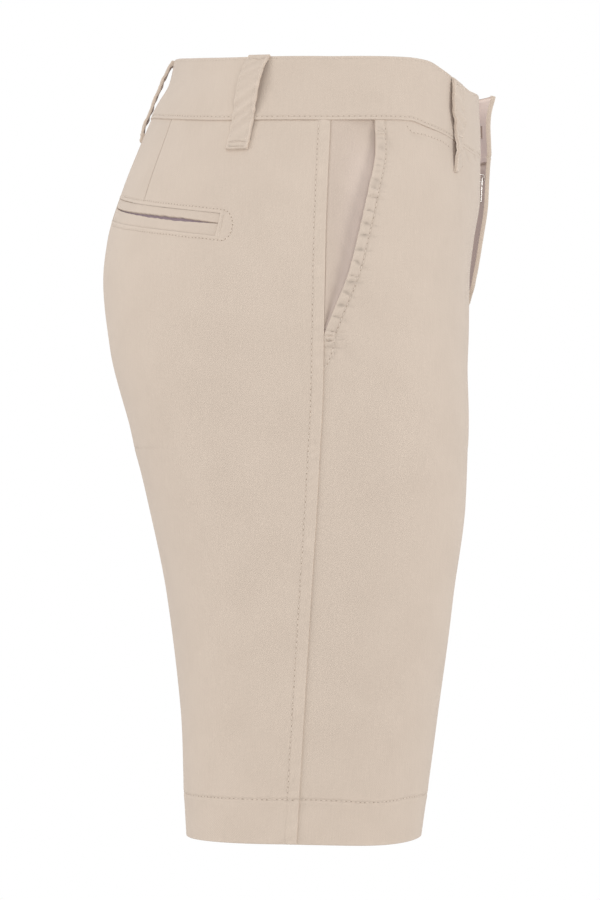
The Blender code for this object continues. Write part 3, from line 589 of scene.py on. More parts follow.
def skin(panel, z, away, out=0.0):
    """Points of the skin in millimetres. Away is how far they lie round from the side seam: below 0
    they are on the other panel, and past the centre line on the wearer's left half."""
    z, away, out = np.broadcast_arrays(*(np.asarray(v, float) for v in (z, away, out)))
    other = "back" if panel == "front" else "front"
    length = girth(panel, z)
    beyond = (away > length) & (z > CROTCH_Z)
    folded = np.where(beyond, 2 * length - away, np.minimum(away, length))
    points = on_quarter(panel, z, np.maximum(folded, 0.0), out)
    behind = on_quarter(other, z, np.clip(-away, 0.0, girth(other, z)), out)
    points = np.where((away < 0)[..., None], behind, points)
    points[..., 0] = np.where(beyond, -points[..., 0], points[..., 0])
    return points


print("creases:", len(CREASES))

# %% [markdown]
# ## From skin to cloth
# A cut piece is a grid of points on the skin. The shell function copies the grid inwards by the
# cloth's thickness, closes the rim all round, and leaves out the cells of a pocket's window.
# Blender's Solidify would do the same, but the hem is twice as thick as the leg, and here each
# point can have its own thickness.

# %% Normals
EDGE_REACH = 2.5  # how far in from an edge a piece may roll


def unit_normals(points):
    """The outward unit normals of a grid whose columns run leftwards as seen from outside."""
    normals = np.cross(np.gradient(points, axis=1), np.gradient(points, axis=0))
    return normals / np.maximum(np.linalg.norm(normals, axis=-1, keepdims=True), 1e-9)


def steady_normals(points):
    """Unit normals that ignore how edges roll: near an edge they copy the normals further in."""
    normals = unit_normals(points)
    for axis in (0, 1):
        run = np.linalg.norm(np.diff(points, axis=axis), axis=-1).mean(axis=1 - axis)
        run = np.append(0.0, np.cumsum(run))
        margin = min(EDGE_REACH, run[-1] / 3)
        inside = np.flatnonzero((run >= margin) & (run <= run[-1] - margin))
        normals = np.take(normals, np.clip(np.arange(len(run)), inside[0], inside[-1]), axis=axis)
    return normals


print("rims copy the normals", EDGE_REACH, "mm further in")


# %% Shells
GLOW_WITHIN = 0.4  # the glow on a shell's inner face, as a share of the most
SHARP_ANGLE = 40.0  # degrees, between a face and a rim that stays crisp


def grid_faces(cells):
    """The corner numbers of the outer, inner and rim faces of a grid with some cells left out."""
    rows, columns = cells.shape[0] + 1, cells.shape[1] + 1
    corner = np.arange(rows * columns).reshape(rows, columns)
    under = rows * columns
    a, b = corner[:-1, :-1], corner[:-1, 1:]
    c, d = corner[1:, 1:], corner[1:, :-1]
    faces = [np.stack([a, b, c, d], -1)[cells], np.stack([d, c, b, a], -1)[cells] + under]
    open_cells = np.pad(~cells, 1, constant_values=True)
    for start, end, beside in (
        (a, b, open_cells[:-2, 1:-1]),
        (b, c, open_cells[1:-1, 2:]),
        (c, d, open_cells[2:, 1:-1]),
        (d, a, open_cells[1:-1, :-2]),
    ):
        edge = cells & beside
        rim = np.stack([end[edge], start[edge], start[edge] + under, end[edge] + under], -1)
        faces.append(rim)
    return np.concatenate(faces)


def cloth_shell(
    name,
    outer,
    thick,
    cloth_uv,
    wear=0.0,
    cells=None,
    finish=shell_twill,
    inside=0.0,
    within=GLOW_WITHIN,
    held="hung",
    hung_on=(),
):
    """One cut piece from the grid of its outer points. Its columns run leftwards from outside.
    Inside and within are the glow of its outer and inner face. The cloth's own coordinates give the
    size it was cut to."""
    if cells is None:
        cells = np.ones((outer.shape[0] - 1, outer.shape[1] - 1), bool)
    values = (thick, wear, inside, within)
    thick, wear, inside, within = (np.broadcast_to(v, outer.shape[:2]) for v in values)
    inner = outer - steady_normals(outer) * thick[..., None]
    within = np.pad(within[1:-1, 1:-1], 1)  # a cut edge lets no light through
    used, faces = np.unique(grid_faces(cells), return_inverse=True)
    points = np.concatenate([outer.reshape(-1, 3), inner.reshape(-1, 3)])[used]
    uv = np.concatenate([cloth_uv.reshape(-1, 2)] * 2)[used]
    mesh = bpy.data.meshes.new(name)
    mesh.from_pydata((points * MM).tolist(), [], faces.reshape(-1, 4).tolist())
    layer = mesh.uv_layers.new(name="cloth")
    corners = np.empty(len(mesh.loops), np.int32)
    mesh.loops.foreach_get("vertex_index", corners)
    layer.data.foreach_set("uv", (uv[corners] * MM).ravel())
    for attribute, above, under in (("wear", wear, wear), ("inside", inside, within)):
        values = np.concatenate([above.ravel(), under.ravel()])[used].astype(np.float32)
        mesh.attributes.new(attribute, "FLOAT", "POINT").data.foreach_set("value", values)
    mesh.shade_smooth()
    mesh.set_sharp_from_angle(angle=math.radians(SHARP_ANGLE))
    mesh.materials.append(finish)
    made = put_in_scene(name, mesh)
    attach(made, "shorts")
    across, down = np.diff(cloth_uv, axis=1)[:-1], np.diff(cloth_uv, axis=0)[:, :-1]
    list(hung_on)
    return made


def turn_out(panel, left, outer, uv, *grids):
    """Mirrors a right-hand piece for the left, and puts its columns in leftward order from outside.
    The weave isn't mirrored, because both halves are cut from the same roll."""
    if left:
        outer, uv = outer * (-1, 1, 1), uv * (-1, 1)
    if (panel == "front") != left:
        return [grid[:, ::-1] for grid in (outer, uv, *grids)]
    return [outer, uv, *grids]


SIDES = {"right": False, "left": True}
print("shells ready for", list(SIDES))

# %% [markdown]
# ### What sewing does to cloth
# A folded edge is round, not cut square. A row of stitches pulls the cloth into a shallow groove,
# and between the groove and the folded edge the cloth gathers into small bulges, because the
# thread is a little tighter than the cloth. These shapes are used on every seam. A bump texture
# could draw them, but they are up to 3 mm high and show along an edge's outline, so they move the
# cloth's own points.

# %% Rolled edges, grooves and gathers
def strung(*stretches):
    """A list of places from stretches given as (start, end, spacing), without repeats."""
    places = []
    for start, end, spacing in stretches:
        count = max(2, round(abs(end - start) / spacing) + 1)
        fresh = list(np.linspace(start, end, count))
        places += fresh[1:] if places and abs(places[-1] - fresh[0]) < 1e-6 else fresh
    return np.array(places)


def roll(distance, radius):
    """How far a folded edge turns in, at a distance from its end."""
    left = radius - np.clip(distance, 0.0, radius)
    return radius - np.sqrt(np.maximum(radius**2 - left**2, 0.0))


def bell(distance, width):
    """1 at a line, and almost nothing two widths from it."""
    return np.exp(-((distance / width) ** 2))


def pucker_wave(pitch, seed, reach=700.0):
    """An uneven wave along a seam, between -1 and 1, with crests about a pitch apart."""
    dice = np.random.default_rng(seed)
    places, heights, place, sign = [], [], -reach, 1.0
    while place < reach:
        places.append(place)
        heights.append(sign * dice.uniform(0.25, 1.0))
        place += pitch / 2 * dice.uniform(0.55, 1.6)
        sign = -sign
    return curve_through(list(zip(places, heights)))


def gathers(pitch, seed, reach=700.0):
    """Uneven round bulges along a seam with sharp valleys between them, from 0 to 1."""
    dice = np.random.default_rng(seed)
    steps = pitch * dice.uniform(0.5, 1.6, int(2.6 * reach / pitch))
    valleys, heights = np.cumsum(steps) - reach, dice.uniform(0.3, 1.0, len(steps))

    def height_at(place):
        i = np.clip(np.searchsorted(valleys, place, side="right") - 1, 0, len(valleys) - 2)
        t = np.clip((place - valleys[i]) / (valleys[i + 1] - valleys[i]), 0.0, 1.0)
        return heights[i] * (1 - (2 * t - 1) ** 2) ** 0.75

    return height_at


print("tallest gather:", round(float(np.max(gathers(6.0, 3)(np.arange(200.0)))), 2), "of 1")

# %% [markdown]
# ## The two backs
# Each back is one large piece from the side seam to the centre seam and the inseam, with a window
# for the welt pocket, a dart from the waist down to the pocket, and a turned-up hem. Its side
# edge lies on top of the seam's turned allowances, held by a row of stitches 7 mm in. The rows of
# the grid bend so that two of them run along the pocket's window, and a bunch of columns leans
# with the dart. A boolean cut would open the window too, but it leaves long thin faces round it,
# which shade badly.

# %% Rows shared by fronts and backs
SEAM_STEP, CLOTH = 0.5, 1.2
SEAM_LAP = 0.15  # how far two panels go past their seam, so that no light shows between them
UNDER_BAND, UNDER_BAND_SINK = 1.6, 0.8  # how far a panel's top goes up inside the waistband, and in
POCKET_HALF, POCKET_START, POCKET_END = 7.0, 70.0, 200.0
POCKET_Z, POCKET_SLOPE, POCKET_LEAN = -84.2, 0.115, 0.185
HEM_STITCH_Z = -444.0
WAIST_ROW = -20.0  # the row that becomes the waist seam

ROWS = {
    "back": strung(
        *[(-20.0, -60.0, 1.5), (-60.0, -72.7, 1.9), (-72.7, -76.4, 0.6), (-76.4, -77.2, 0.2)],
        *[(-77.2, -91.2, 2.0), (-91.2, -92.0, 0.2), (-92.0, -95.7, 0.6), (-95.7, -165.0, 1.9)],
        *[(-165.0, -217.0, 2.6), (-217.0, -247.0, 1.3), (-247.0, -437.0, 2.7)],
        *[(-437.0, -441.0, 1.0), (-441.0, -447.0, 0.5), (-447.0, -469.5, 2.2)],
        *[(-469.5, -472.0, 0.5)],
    ),
    "front": strung(
        *[(-20.0, -165.0, 0.72), (-165.0, -180.0, 1.6), (-180.0, -217.0, 2.5)],
        *[(-217.0, -247.0, 1.3), (-247.0, -437.0, 2.7), (-437.0, -441.0, 1.0)],
        *[(-441.0, -447.0, 0.5), (-447.0, -469.5, 2.2), (-469.5, -472.0, 0.5)],
    ),
}
# The heights at the inner edge of the rows, which crowd together at the arch of the crotch.
inner_height = curve_through(
    [(35.0, 35.0), (-95.0, -95.0), (-111.0, -114.0), (-123.0, -131.0), (-136.0, -148.0)]
    + [(-153.0, -169.0), (-172.0, -189.0), (-190.0, -205.0), (-207.0, -216.0), (-214.0, -220.3)]
    + [(-221.0, -223.3), (-225.0, -224.3), (-229.0, -224.85), (-233.0, -225.0), (-236.0, -225.1)]
    + [(-240.0, -225.6), (-247.0, -228.5), (-260.0, -238.0), (-280.0, -262.0), (-306.0, -296.0)]
    + [(-338.0, -334.0), (-374.0, -374.0), (-472.0, -472.0)]
)
# How much of the waist seam's dip each row still follows.
waist_dip = {
    panel: curve_through(knots)
    for panel, knots in {
        "front": [(-20.0, 1.0), (-45.0, 0.6), (-64.0, 0.3), (-90.0, 0.05), (-111.0, 0.0)],
        "back": [(-20.0, 1.0), (-40.0, 0.6), (-58.0, 0.2), (-74.0, 0.0), (-90.0, 0.0)],
    }.items()
}


def row_z(panel, height, share):
    """The height of a row at a share of the way from the side seam to the inner edge."""
    share = np.clip(share, 0.0, 1.0)
    level = height + (inner_height(height) - height) * fade(share, 0.25, 1.0)
    return level + waist_dip[panel](height) * (band_seam_at[panel](share) - WAIST_ROW)


print("rows:", {panel: len(rows) for panel, rows in ROWS.items()})

# %% The backs' grid
DART_TOP, DART_POINT, DART_COLUMN = (-14.6, 128.6), (-66.5, 135.8), 132.0
beside_dart = np.array([0.12, 0.3, 0.55, 0.9, 1.4, 2.2, 3.4, 5.0])
edge_columns = np.array(
    [0.0, 0.12, 0.3, 0.6, 1.2, 2.2, 3.2, 4.2, 5.2, 6.0, 6.5, 6.9, 7.3, 7.7, 8.1, 8.6, 9.4]
)
back_columns = np.concatenate(
    [
        edge_columns,
        strung((10.6, 67.6, 3.0), (67.6, 69.2, 0.8), (69.2, 70.0, 0.2), (70.0, 124.5, 3.0)),
        DART_COLUMN - beside_dart[::-1],
        [DART_COLUMN],
        DART_COLUMN + beside_dart,
        strung((139.5, 200.0, 3.0), (200.8, 204.0, 1.6), (206.8, 218.0, 2.8)),
    ]
)
COLUMNS_SHARE = 0.85  # how much of the leg's girth the columns above take, below the crotch
inward_shares = np.array(
    [0.06, 0.13, 0.2, 0.28, 0.36, 0.44, 0.52, 0.6, 0.68, 0.76, 0.84, 0.91, 0.96, 0.985, 0.995, 1.0]
)


def pocket_line(away):
    """The height of the middle of the back pocket."""
    return POCKET_Z + POCKET_SLOPE * (away - POCKET_START)


def dart_line(z):
    """How far the dart is from the side seam."""
    (top, top_away), (point, point_away) = DART_TOP, DART_POINT
    return top_away + (point_away - top_away) * np.clip((z - top) / (point - top), 0.0, 1.0)


def back_grid():
    """Heights and distances from the side seam of the back's points."""
    height = ROWS["back"][:, None]
    length = girth("back", height)
    spread = length * COLUMNS_SHARE / back_columns[-1]
    spread = 1.0 + (spread - 1.0) * fade(height, -120.0, CROTCH_Z)
    away = back_columns[None, :] * spread
    away[:, : len(edge_columns)] = edge_columns[None, :]
    beside = np.clip(away, POCKET_START, POCKET_END) - POCKET_START
    bend = fade(height, -26.0, -75.0) * (1 - fade(height, -94.0, -160.0))
    z = row_z("back", height, away / length) + POCKET_SLOPE * beside * bend
    by_dart = fade(abs(back_columns - DART_COLUMN), 24.0, 6.0)[None, :]
    by_dart = by_dart * fade(height, -110.0, -80.0)
    by_end = fade(abs(back_columns - POCKET_START), 16.0, 3.0)[None, :] * bend
    lean = -POCKET_LEAN * np.clip(z - pocket_line(away), -12.0, 12.0)
    away = away + (dart_line(z) - DART_COLUMN) * by_dart + lean * by_end
    edge_z = row_z("back", ROWS["back"], 1.0)[:, None]
    last_z, last_away = z[:, -1:], away[:, -1:]
    inward_z = last_z + (edge_z - last_z) * fade(inward_shares[None, :], 0.0, 1.0)
    inward_away = girth("back", inward_z) + SEAM_LAP - last_away
    inward_away = last_away + inward_away * inward_shares[None, :]
    z, away = np.hstack([z, inward_z]), np.hstack([away, inward_away])
    z[0] += UNDER_BAND
    return z, away


back_z, back_away = back_grid()
first, last = (np.argmin(abs(back_columns - at)) for at in (POCKET_START, POCKET_END))
window_rows = (POCKET_Z + POCKET_HALF, POCKET_Z - POCKET_HALF)
upper, lower = (np.argmin(abs(ROWS["back"] - at)) for at in window_rows)
back_cells = np.ones((back_z.shape[0] - 1, back_z.shape[1] - 1), bool)
back_cells[upper:lower, first:last] = False
print("back grid:", back_z.shape, "with a window of", (~back_cells).sum(), "cells")

# %% [markdown]
# Relief and wear are worked out together: the dye wears off where the cloth bulges, which is
# also painted a little lighter, and painted shade darkens it where a stitch pulls it in. Each
# relief function gives how far the cloth stands off the skin, and its wear and painted shade
# from -1, deep in the seam, to 1, rubbed pale.

# %% Patches of tone, gathers and the hem
Patch = namedtuple("Patch", "panel z share height width wear")
PATCHES = [
    Patch("front", -330.0, 0.10, 120.0, 60.0, -0.07),
    Patch("front", -420.0, 0.45, 60.0, 70.0, -0.05),
    Patch("back", -150.0, 0.70, 60.0, 60.0, 0.05),
    Patch("back", -400.0, 0.75, 80.0, 60.0, 0.05),
]
side_gather = {left: gathers(8.0, 11 + left) for left in (False, True)}
hem_gather = {left: gathers(7.0, 23 + left) for left in (False, True)}
welt_wave = {left: pucker_wave(9.0, 31 + left) for left in (False, True)}
# How the seam and the edge of a front's hem sag: how far, and at which shares of the way round.
HemSag = namedtuple("HemSag", "drop share width")
SEAM_SAG, EDGE_SAG = HemSag(2.3, 0.2, 0.1), HemSag(1.9, 0.25, 0.17)
SEAM_DROP_AHEAD = 0.8


def patchy_tone(panel, z, away):
    """Large soft patches where the cloth is a little lighter or darker."""
    length = girth(panel, z)
    wear = np.zeros_like(z)
    for patch in PATCHES:
        if patch.panel == panel:
            beside = (away / length - patch.share) * length
            wear = wear + patch.wear * bell(z - patch.z, patch.height) * bell(beside, patch.width)
    return wear


def hem_sag(panel, z, share):
    """How far the hem's seam and edge hang below their level, which only the fronts do."""
    if panel == "back":
        return 0.0 * z
    at_edge = fade(z, -450.0, -470.0)
    at_seam = fade(z, -400.0, -436.0) * (1 - at_edge)
    seam, edge = (sag.drop * bell(share - sag.share, sag.width) for sag in (SEAM_SAG, EDGE_SAG))
    return (seam + SEAM_DROP_AHEAD * fade(share, 0.1, 0.3)) * at_seam + edge * at_edge


def hem_relief(z, along, left):
    """The hem's stitches sink a groove, with small gathers above and below."""
    bulge = hem_gather[left](along + 0.4 * (z - HEM_STITCH_Z))
    near, sunk = bell(z - HEM_STITCH_Z, 5.5), bell(z - HEM_STITCH_Z, 0.9)
    out = 0.34 * bulge * near - 0.4 * sunk - roll(z - HEM_Z, 1.1)
    worn_fold = 0.25 * bell(z - HEM_Z, 1.2)
    # The gathers are painted lighter on top and darker between, painted shade darkens the stitched
    # groove, and the fold is lighter with wear.
    return out, 0.14 * (bulge - 0.4) * near - 0.22 * sunk + worn_fold


def under_band(panel, z, share):
    """How far a panel's top edge goes in, where it is inside the waistband."""
    return UNDER_BAND_SINK * (z > band_seam_at[panel](share) + UNDER_BAND_SINK)


def panel_thickness(z):
    """A panel is doubled where its hem is turned up."""
    return CLOTH * (1 + fade(z, HEM_Z + HEM_DEPTH + 1.0, HEM_Z + HEM_DEPTH))


print("deepest sag of a front's hem:", EDGE_SAG.drop, "mm")

# %% The backs' relief
SIDE_STITCH, ALLOWANCE_END = 7.4, (6.9, 9.4)  # from the side edge, over the turned seam allowances
WINDOW_STITCH = 2.9  # from the pocket's window
CALF_HOLLOW = 0.9  # how far the cloth falls in down the leg


def side_relief(z, away, left):
    """The side edge lies on its allowances and gathers along its row of stitches."""
    bulge, strip = side_gather[left](z + 0.3 * away), bell(away - 4.2, 2.6)
    sunk = bell(away - SIDE_STITCH, 0.6)
    out = SEAM_STEP * (1 - fade(away, *ALLOWANCE_END)) - roll(away, 0.4)
    out = out + 0.8 * bulge * (strip + 0.4 * bell(away - 9.5, 1.8)) - 0.28 * sunk
    # The gathers are painted lighter on top and darker between, painted shade darkens the stitched
    # groove, and the folded edge is lighter with wear.
    return out, 0.22 * (bulge - 0.35) * strip - 0.14 * sunk + 0.12 * bell(away, 0.9)


def dart_relief(z, away):
    """The dart is a sharp groove, with the cloth a little full beside it."""
    there, beside = fade(z, DART_POINT[0] - 3.0, DART_POINT[0] + 3.0), away - dart_line(z)
    out = there * (0.8 * bell(beside, 0.42) - 0.22 * bell(beside + 3.0, 2.6))
    # The dart's groove is darkened with painted shade.
    return -out, -there * (0.8 * bell(beside, 0.5) - 0.06 * bell(beside + 2.5, 1.5))


def window_relief(z, away, left):
    """The cloth turns in at the pocket's window and is stitched round it."""
    up, along = abs(z - pocket_line(away)) - POCKET_HALF, POCKET_START - away
    along = along - POCKET_LEAN * (z - pocket_line(away))
    along = np.maximum(np.maximum(along, away - POCKET_END), 0.0)
    outside = np.hypot(np.maximum(up, 0.0), along)
    sunk, rim = bell(outside - WINDOW_STITCH, 0.7), bell(outside - 1.2, 1.3)
    out = 0.22 * rim * (1 + welt_wave[left](away)) - roll(outside, 0.55) - 0.2 * sunk
    # The rim is a little lighter, and painted shade darkens the stitched groove and, most, a thin
    # line at the window's edge.
    return out, 0.1 * rim - 0.12 * sunk - 1.1 * bell(outside, 0.35)


def back_relief(z, away, left):
    """How far a back stands off the skin, and its wear and painted shade."""
    length = girth("back", z)
    reliefs = [
        *(side_relief(z, away, left), dart_relief(z, away)),
        *(hem_relief(z, -away, left), window_relief(z, away, left)),
    ]
    out, wear = (sum(parts) for parts in zip(*reliefs))
    hollow = fade(z, -240.0, -320.0) * (1 - fade(z, -390.0, -440.0)) * fade(away, 10.0, 60.0)
    out = out - CALF_HOLLOW * hollow - roll(length - away, 0.6)
    return out - under_band("back", z, away / length), wear + patchy_tone("back", z, away)


dart_out = dart_relief(-40.0, dart_line(-40.0))[0]
print("the dart's groove is", round(-float(dart_out), 2), "mm deep")

# %% The backs' shells
for side, left in SIDES.items():
    out, wear = back_relief(back_z, back_away, left)
    outer, uv = skin("back", back_z, back_away, out), np.stack([back_away, back_z], -1)
    thick = panel_thickness(back_z)
    outer, uv, thick, wear, cells = turn_out("back", left, outer, uv, thick, wear, back_cells)
    back = cloth_shell(
        f"back_{side}_cloth", outer, thick, uv, wear, cells, hung_on=[f"waistband_{side}"]
    )
    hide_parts(f"back_{side}")
print("a back:", len(back.data.polygons), "faces")

# %% [markdown]
# ## The two fronts
# A front's side edge is the slanted mouth of the pocket down to the pocket's foot, and the side
# seam below. Its centre edge is the fly. The left front is folded 8 mm past the centre line and
# stands off the right one, which lies under it. The fold makes that edge almost twice as thick.
# The pocket's mouth could be cut out of a wider piece, but when the first column of points
# follows it, its edge stays smooth.

# %% The fronts' edges
PocketEdge = namedtuple("PocketEdge", "z ahead")
FRONT_POCKET = [
    PocketEdge(-10.0, 27.8),
    PocketEdge(-37.0, 29.7),
    PocketEdge(-65.0, 25.2),
    PocketEdge(-90.0, 20.3),
    PocketEdge(-116.0, 14.2),
    PocketEdge(-139.0, 5.5),
    PocketEdge(-153.0, 0.15),
]
FRONT_POCKET_FOOT, POCKET_GAPE, GAPE_WIDTH, POCKET_STITCH = -153.0, 2.6, 45.0, 7.0
SIDE_LAP = 2.0  # how far a front goes on under the back's side edge
FLY_OVERLAP, RIGHT_FLY_EDGE, FLY_WIDTH, FLY_FOOT = 8.0, 4.0, 36.0, -131.0
FLY_LIFT = [(20.0, 12.5), (7.0, 11.2), (0.0, 9.2), (-7.0, 7.6), (-15.0, 6.8), (-30.0, 7.2)]
FLY_LIFT += [(-42.0, 6.6), (-52.0, 6.3), (-61.0, 6.2), (-75.0, 6.6), (-87.0, 7.0), (-103.0, 6.8)]
FLY_LIFT += [(-116.0, 5.6), (-124.0, 3.9), (-131.0, 2.4), (-140.0, 1.0), (-152.0, 0.0)]
front_pocket_at = column(FRONT_POCKET, "z", "ahead")
fly_lift_at = curve_through(FLY_LIFT)


def front_edge_at(z):
    """Where a front starts: at the pocket's edge, and below the pocket under the back's edge."""
    mouth = np.where(z > FRONT_POCKET_FOOT, front_pocket_at(z), SEAM_LAP)
    return mouth - SIDE_LAP * fade(z, FRONT_POCKET_FOOT - 1.0, FRONT_POCKET_FOOT - 4.0)


def fly_reach(left, z):
    """How far a front goes past the centre line along the fly."""
    return (FLY_OVERLAP if left else RIGHT_FLY_EDGE) * fade(z, FLY_FOOT, FLY_FOOT + 14.0)


def fly_lift(left, z, away):
    """The left front's fly stands off the right front."""
    if not left:
        return np.zeros_like(z)
    past_root = away - (girth("front", z) - FLY_WIDTH)
    full_at = FLY_WIDTH - 10.0 * fade(z, -22.0, -36.0)
    t = np.clip(past_root / full_at, 0.0, 1.0)
    return fly_lift_at(z) * t * t * (3 - 2 * t)


def pocket_gape(z, away):
    """How far the pocket's edge stands out, which dies away towards the front."""
    t = np.clip((WAIST_ROW - z) / (WAIST_ROW - FRONT_POCKET_FOOT), 0.0, 1.0)
    beside = np.maximum(0.0, away - front_pocket_at(z))
    return POCKET_GAPE * np.sin(math.pi * t) ** 0.8 * (1 - fade(beside, 0.0, GAPE_WIDTH))


print("the fly stands off by up to", max(lift for z, lift in FLY_LIFT if z < 8), "mm")

# %% The fronts' grid
mouth_columns = np.array(
    [0.0, 0.12, 0.35, 0.7, 1.2, 1.8, 2.5, 3.3, 4.1, 4.9, 5.6, 6.2, 6.6, 7.0, 7.4, 7.9]
    + [8.6, 9.6, 11.0, 13.0]
)
middle_shares = np.linspace(0.0, 1.0, 61)[1:]
before_fly = {
    True: strung((44.0, 5.0, 2.4), (5.0, 1.2, 0.95), (1.2, 0.0, 0.3)),
    False: strung((40.0, 5.0, 2.7), (5.0, 1.2, 0.95), (1.2, 0.0, 0.3)),
}


def front_grid(left):
    """Heights and distances from the side seam of a front's points."""
    height = ROWS["front"][:, None]
    before = before_fly[left][None, :]
    length = girth("front", inner_height(height))
    edge = front_edge_at(row_z("front", height, 0.1)) + mouth_columns[None, :]
    middle = edge[:, -1:] + (length - before[:, :1] - edge[:, -1:]) * middle_shares[None, :]
    away = np.hstack([edge, middle])
    z = row_z("front", height, away / length)
    end_z = row_z("front", height, 1.0 - before / length)
    end_z = row_z("front", height, 1.0 - before / girth("front", end_z))
    end = girth("front", end_z) + SEAM_LAP + fly_reach(left, end_z) - before
    z, away = np.hstack([z, end_z[:, 1:]]), np.hstack([away, end[:, 1:]])
    z[0] += UNDER_BAND
    return z - hem_sag("front", z, away / girth("front", z)), away


print("columns of a front:", len(mouth_columns) + len(middle_shares) + len(before_fly[True]) - 1)

# %% The fronts' relief
THIGH_HOLLOW = 1.1  # how far the cloth falls in down the leg
# How much painted shade darkens the middle of each small crease.
TUCK_SHADE = 0.12
mouth_gather = {left: gathers(6.4, 47 + left) for left in (False, True)}
mouth_sway = {left: pucker_wave(17.0, 41 + left) for left in (False, True)}
# Small creases by the waist seam and the pocket's foot. Each has a middle, a length, a lean, a
# width and a depth.
Tuck = namedtuple("Tuck", "z away length lean width depth")
TUCKS = [
    Tuck(-37.5, 131.6, 7.0, 66.0, 1.3, 0.95),
    Tuck(-37.2, 152.7, 6.6, 70.0, 1.2, 0.8),
    Tuck(-33.0, 171.0, 7.0, 20.0, 1.8, 0.7),
    Tuck(-27.5, 60.0, 9.0, 80.0, 1.8, 0.5),
    Tuck(-33.0, 38.5, 7.0, 25.0, 1.5, 0.6),
    Tuck(-158.0, 12.0, 9.0, 35.0, 1.8, 0.8),
    Tuck(-166.0, 15.0, 10.0, 52.0, 2.2, 0.5),
]


def mouth_relief(z, away, left):
    """The pocket's folded edge puckers between its fold and its row of stitches."""
    in_pocket = fade(z, FRONT_POCKET_FOOT - 26.0, FRONT_POCKET_FOOT - 6.0)
    lapped = (1 - fade(z, -157.0, -154.0)) * (z < FRONT_POCKET_FOOT)
    from_edge = away - front_edge_at(z) - SIDE_LAP * lapped
    slant = 0.3 * mouth_sway[left](z) - 0.2
    bulge = mouth_gather[left](z - slant * from_edge)
    bulge = bulge * (0.65 + 0.35 * mouth_sway[left](1.4 * z + 60.0))
    ridge = bell(from_edge - 3.6, 2.6) + 0.35 * bell(from_edge - 9.6, 2.2)
    valley = in_pocket * (1 - np.minimum(1.0, bulge * 5.0)) * ridge
    sunk = in_pocket * bell(from_edge - POCKET_STITCH, 0.8)
    out = in_pocket * (1.5 + 1.5 * fade(z, -32.0, -60.0)) * bulge * ridge - 0.4 * sunk
    # The puckers are painted lighter on top, the fold is lighter with wear, and painted shade
    # darkens the stitched groove and, most, the valleys between the puckers.
    wear = in_pocket * (0.25 * (bulge - 0.4) * ridge + 0.12 * bell(from_edge, 0.8)) - 0.25 * sunk
    return out, wear - (0.6 + 0.9 * fade(z, -40.0, -80.0)) * valley


def under_back_relief(z, away):
    """Below the pocket the front dips to pass under the back's side edge."""
    below = fade(z, FRONT_POCKET_FOOT, FRONT_POCKET_FOOT - 12.0)
    by_seam = bell(np.maximum(away, 0.0), 3.5)
    # The dip by the side seam is darkened a little with painted shade.
    return -below * (0.4 * by_seam + 0.12 * (away < 0.0)), -0.06 * below * by_seam


def tuck_relief(z, away):
    """The small creases of the table, each darkened with painted shade."""
    out, wear = 0.0 * z, 0.0 * z
    for tuck in TUCKS:
        along, beside = beside_fold(z - tuck.z, away - tuck.away, tuck.lean)
        fold = bell(along, tuck.length) * bell(beside, tuck.width)
        out, wear = out - tuck.depth * fold, wear - TUCK_SHADE * fold
    return out, wear


def front_relief(z, away, left):
    """How far a front stands off the skin, and its wear and painted shade."""
    length = girth("front", z)
    hem_z = z + hem_sag("front", z, away / length)
    reliefs = [
        *(mouth_relief(z, away, left), under_back_relief(z, away)),
        *(hem_relief(hem_z, away, left), tuck_relief(z, away)),
    ]
    out, wear = (sum(parts) for parts in zip(*reliefs))
    out = out + pocket_gape(z, away) + fly_lift(left, z, away)
    out = out - roll(away - front_edge_at(z), 0.55)
    out = out - roll(length + fly_reach(left, z) - away, 0.6)
    out = out - THIGH_HOLLOW * fade(z, -330.0, -400.0) * fade(away, 10.0, 60.0)
    return out - under_band("front", z, away / length), wear + patchy_tone("front", z, away)


print("small creases on a front:", len(TUCKS))

# %% The fronts' shells
FLY_FOLD, FLY_FOLD_THICK, FLY_GLOW = (3.0, 2.6), 0.9, 0.9
NEAR_FLY = (60.0, 30.0)  # where the light through the fly's cloth starts, and is full

for side, left in SIDES.items():
    z, away = front_grid(left)
    out, wear = front_relief(z, away, left)
    to_fly = girth("front", z) + fly_reach(left, z) - away
    thick = panel_thickness(z)
    within = GLOW_WITHIN + 0.0 * z
    if left:
        folded = fade(to_fly, *FLY_FOLD) * fade(z, FLY_FOOT - 4.0, FLY_FOOT + 10.0)
        thick = thick + FLY_FOLD_THICK * folded
        within = GLOW_WITHIN + FLY_GLOW * fade(to_fly, *NEAR_FLY)
    outer, uv = skin("front", z, away, out), np.stack([-away, z], -1)
    outer, uv, thick, wear, within = turn_out("front", left, outer, uv, thick, wear, within)
    front = cloth_shell(
        *(f"front_{side}_cloth", outer, thick, uv, wear),
        within=within,
        hung_on=[f"waistband_{side}"],
    )
    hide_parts(f"front_{side}")
print("a front:", len(front.data.polygons), "faces")

# %% [markdown]
# ## The side facing of the front pocket
# Where the pocket gapes, a facing of the same twill shows behind its mouth. It starts in the side
# seam and falls inwards, so it sits in soft shade. A whole pocket bag could hang behind it, but
# nothing of it would show, so the facing goes on 24 mm under the front and ends there.

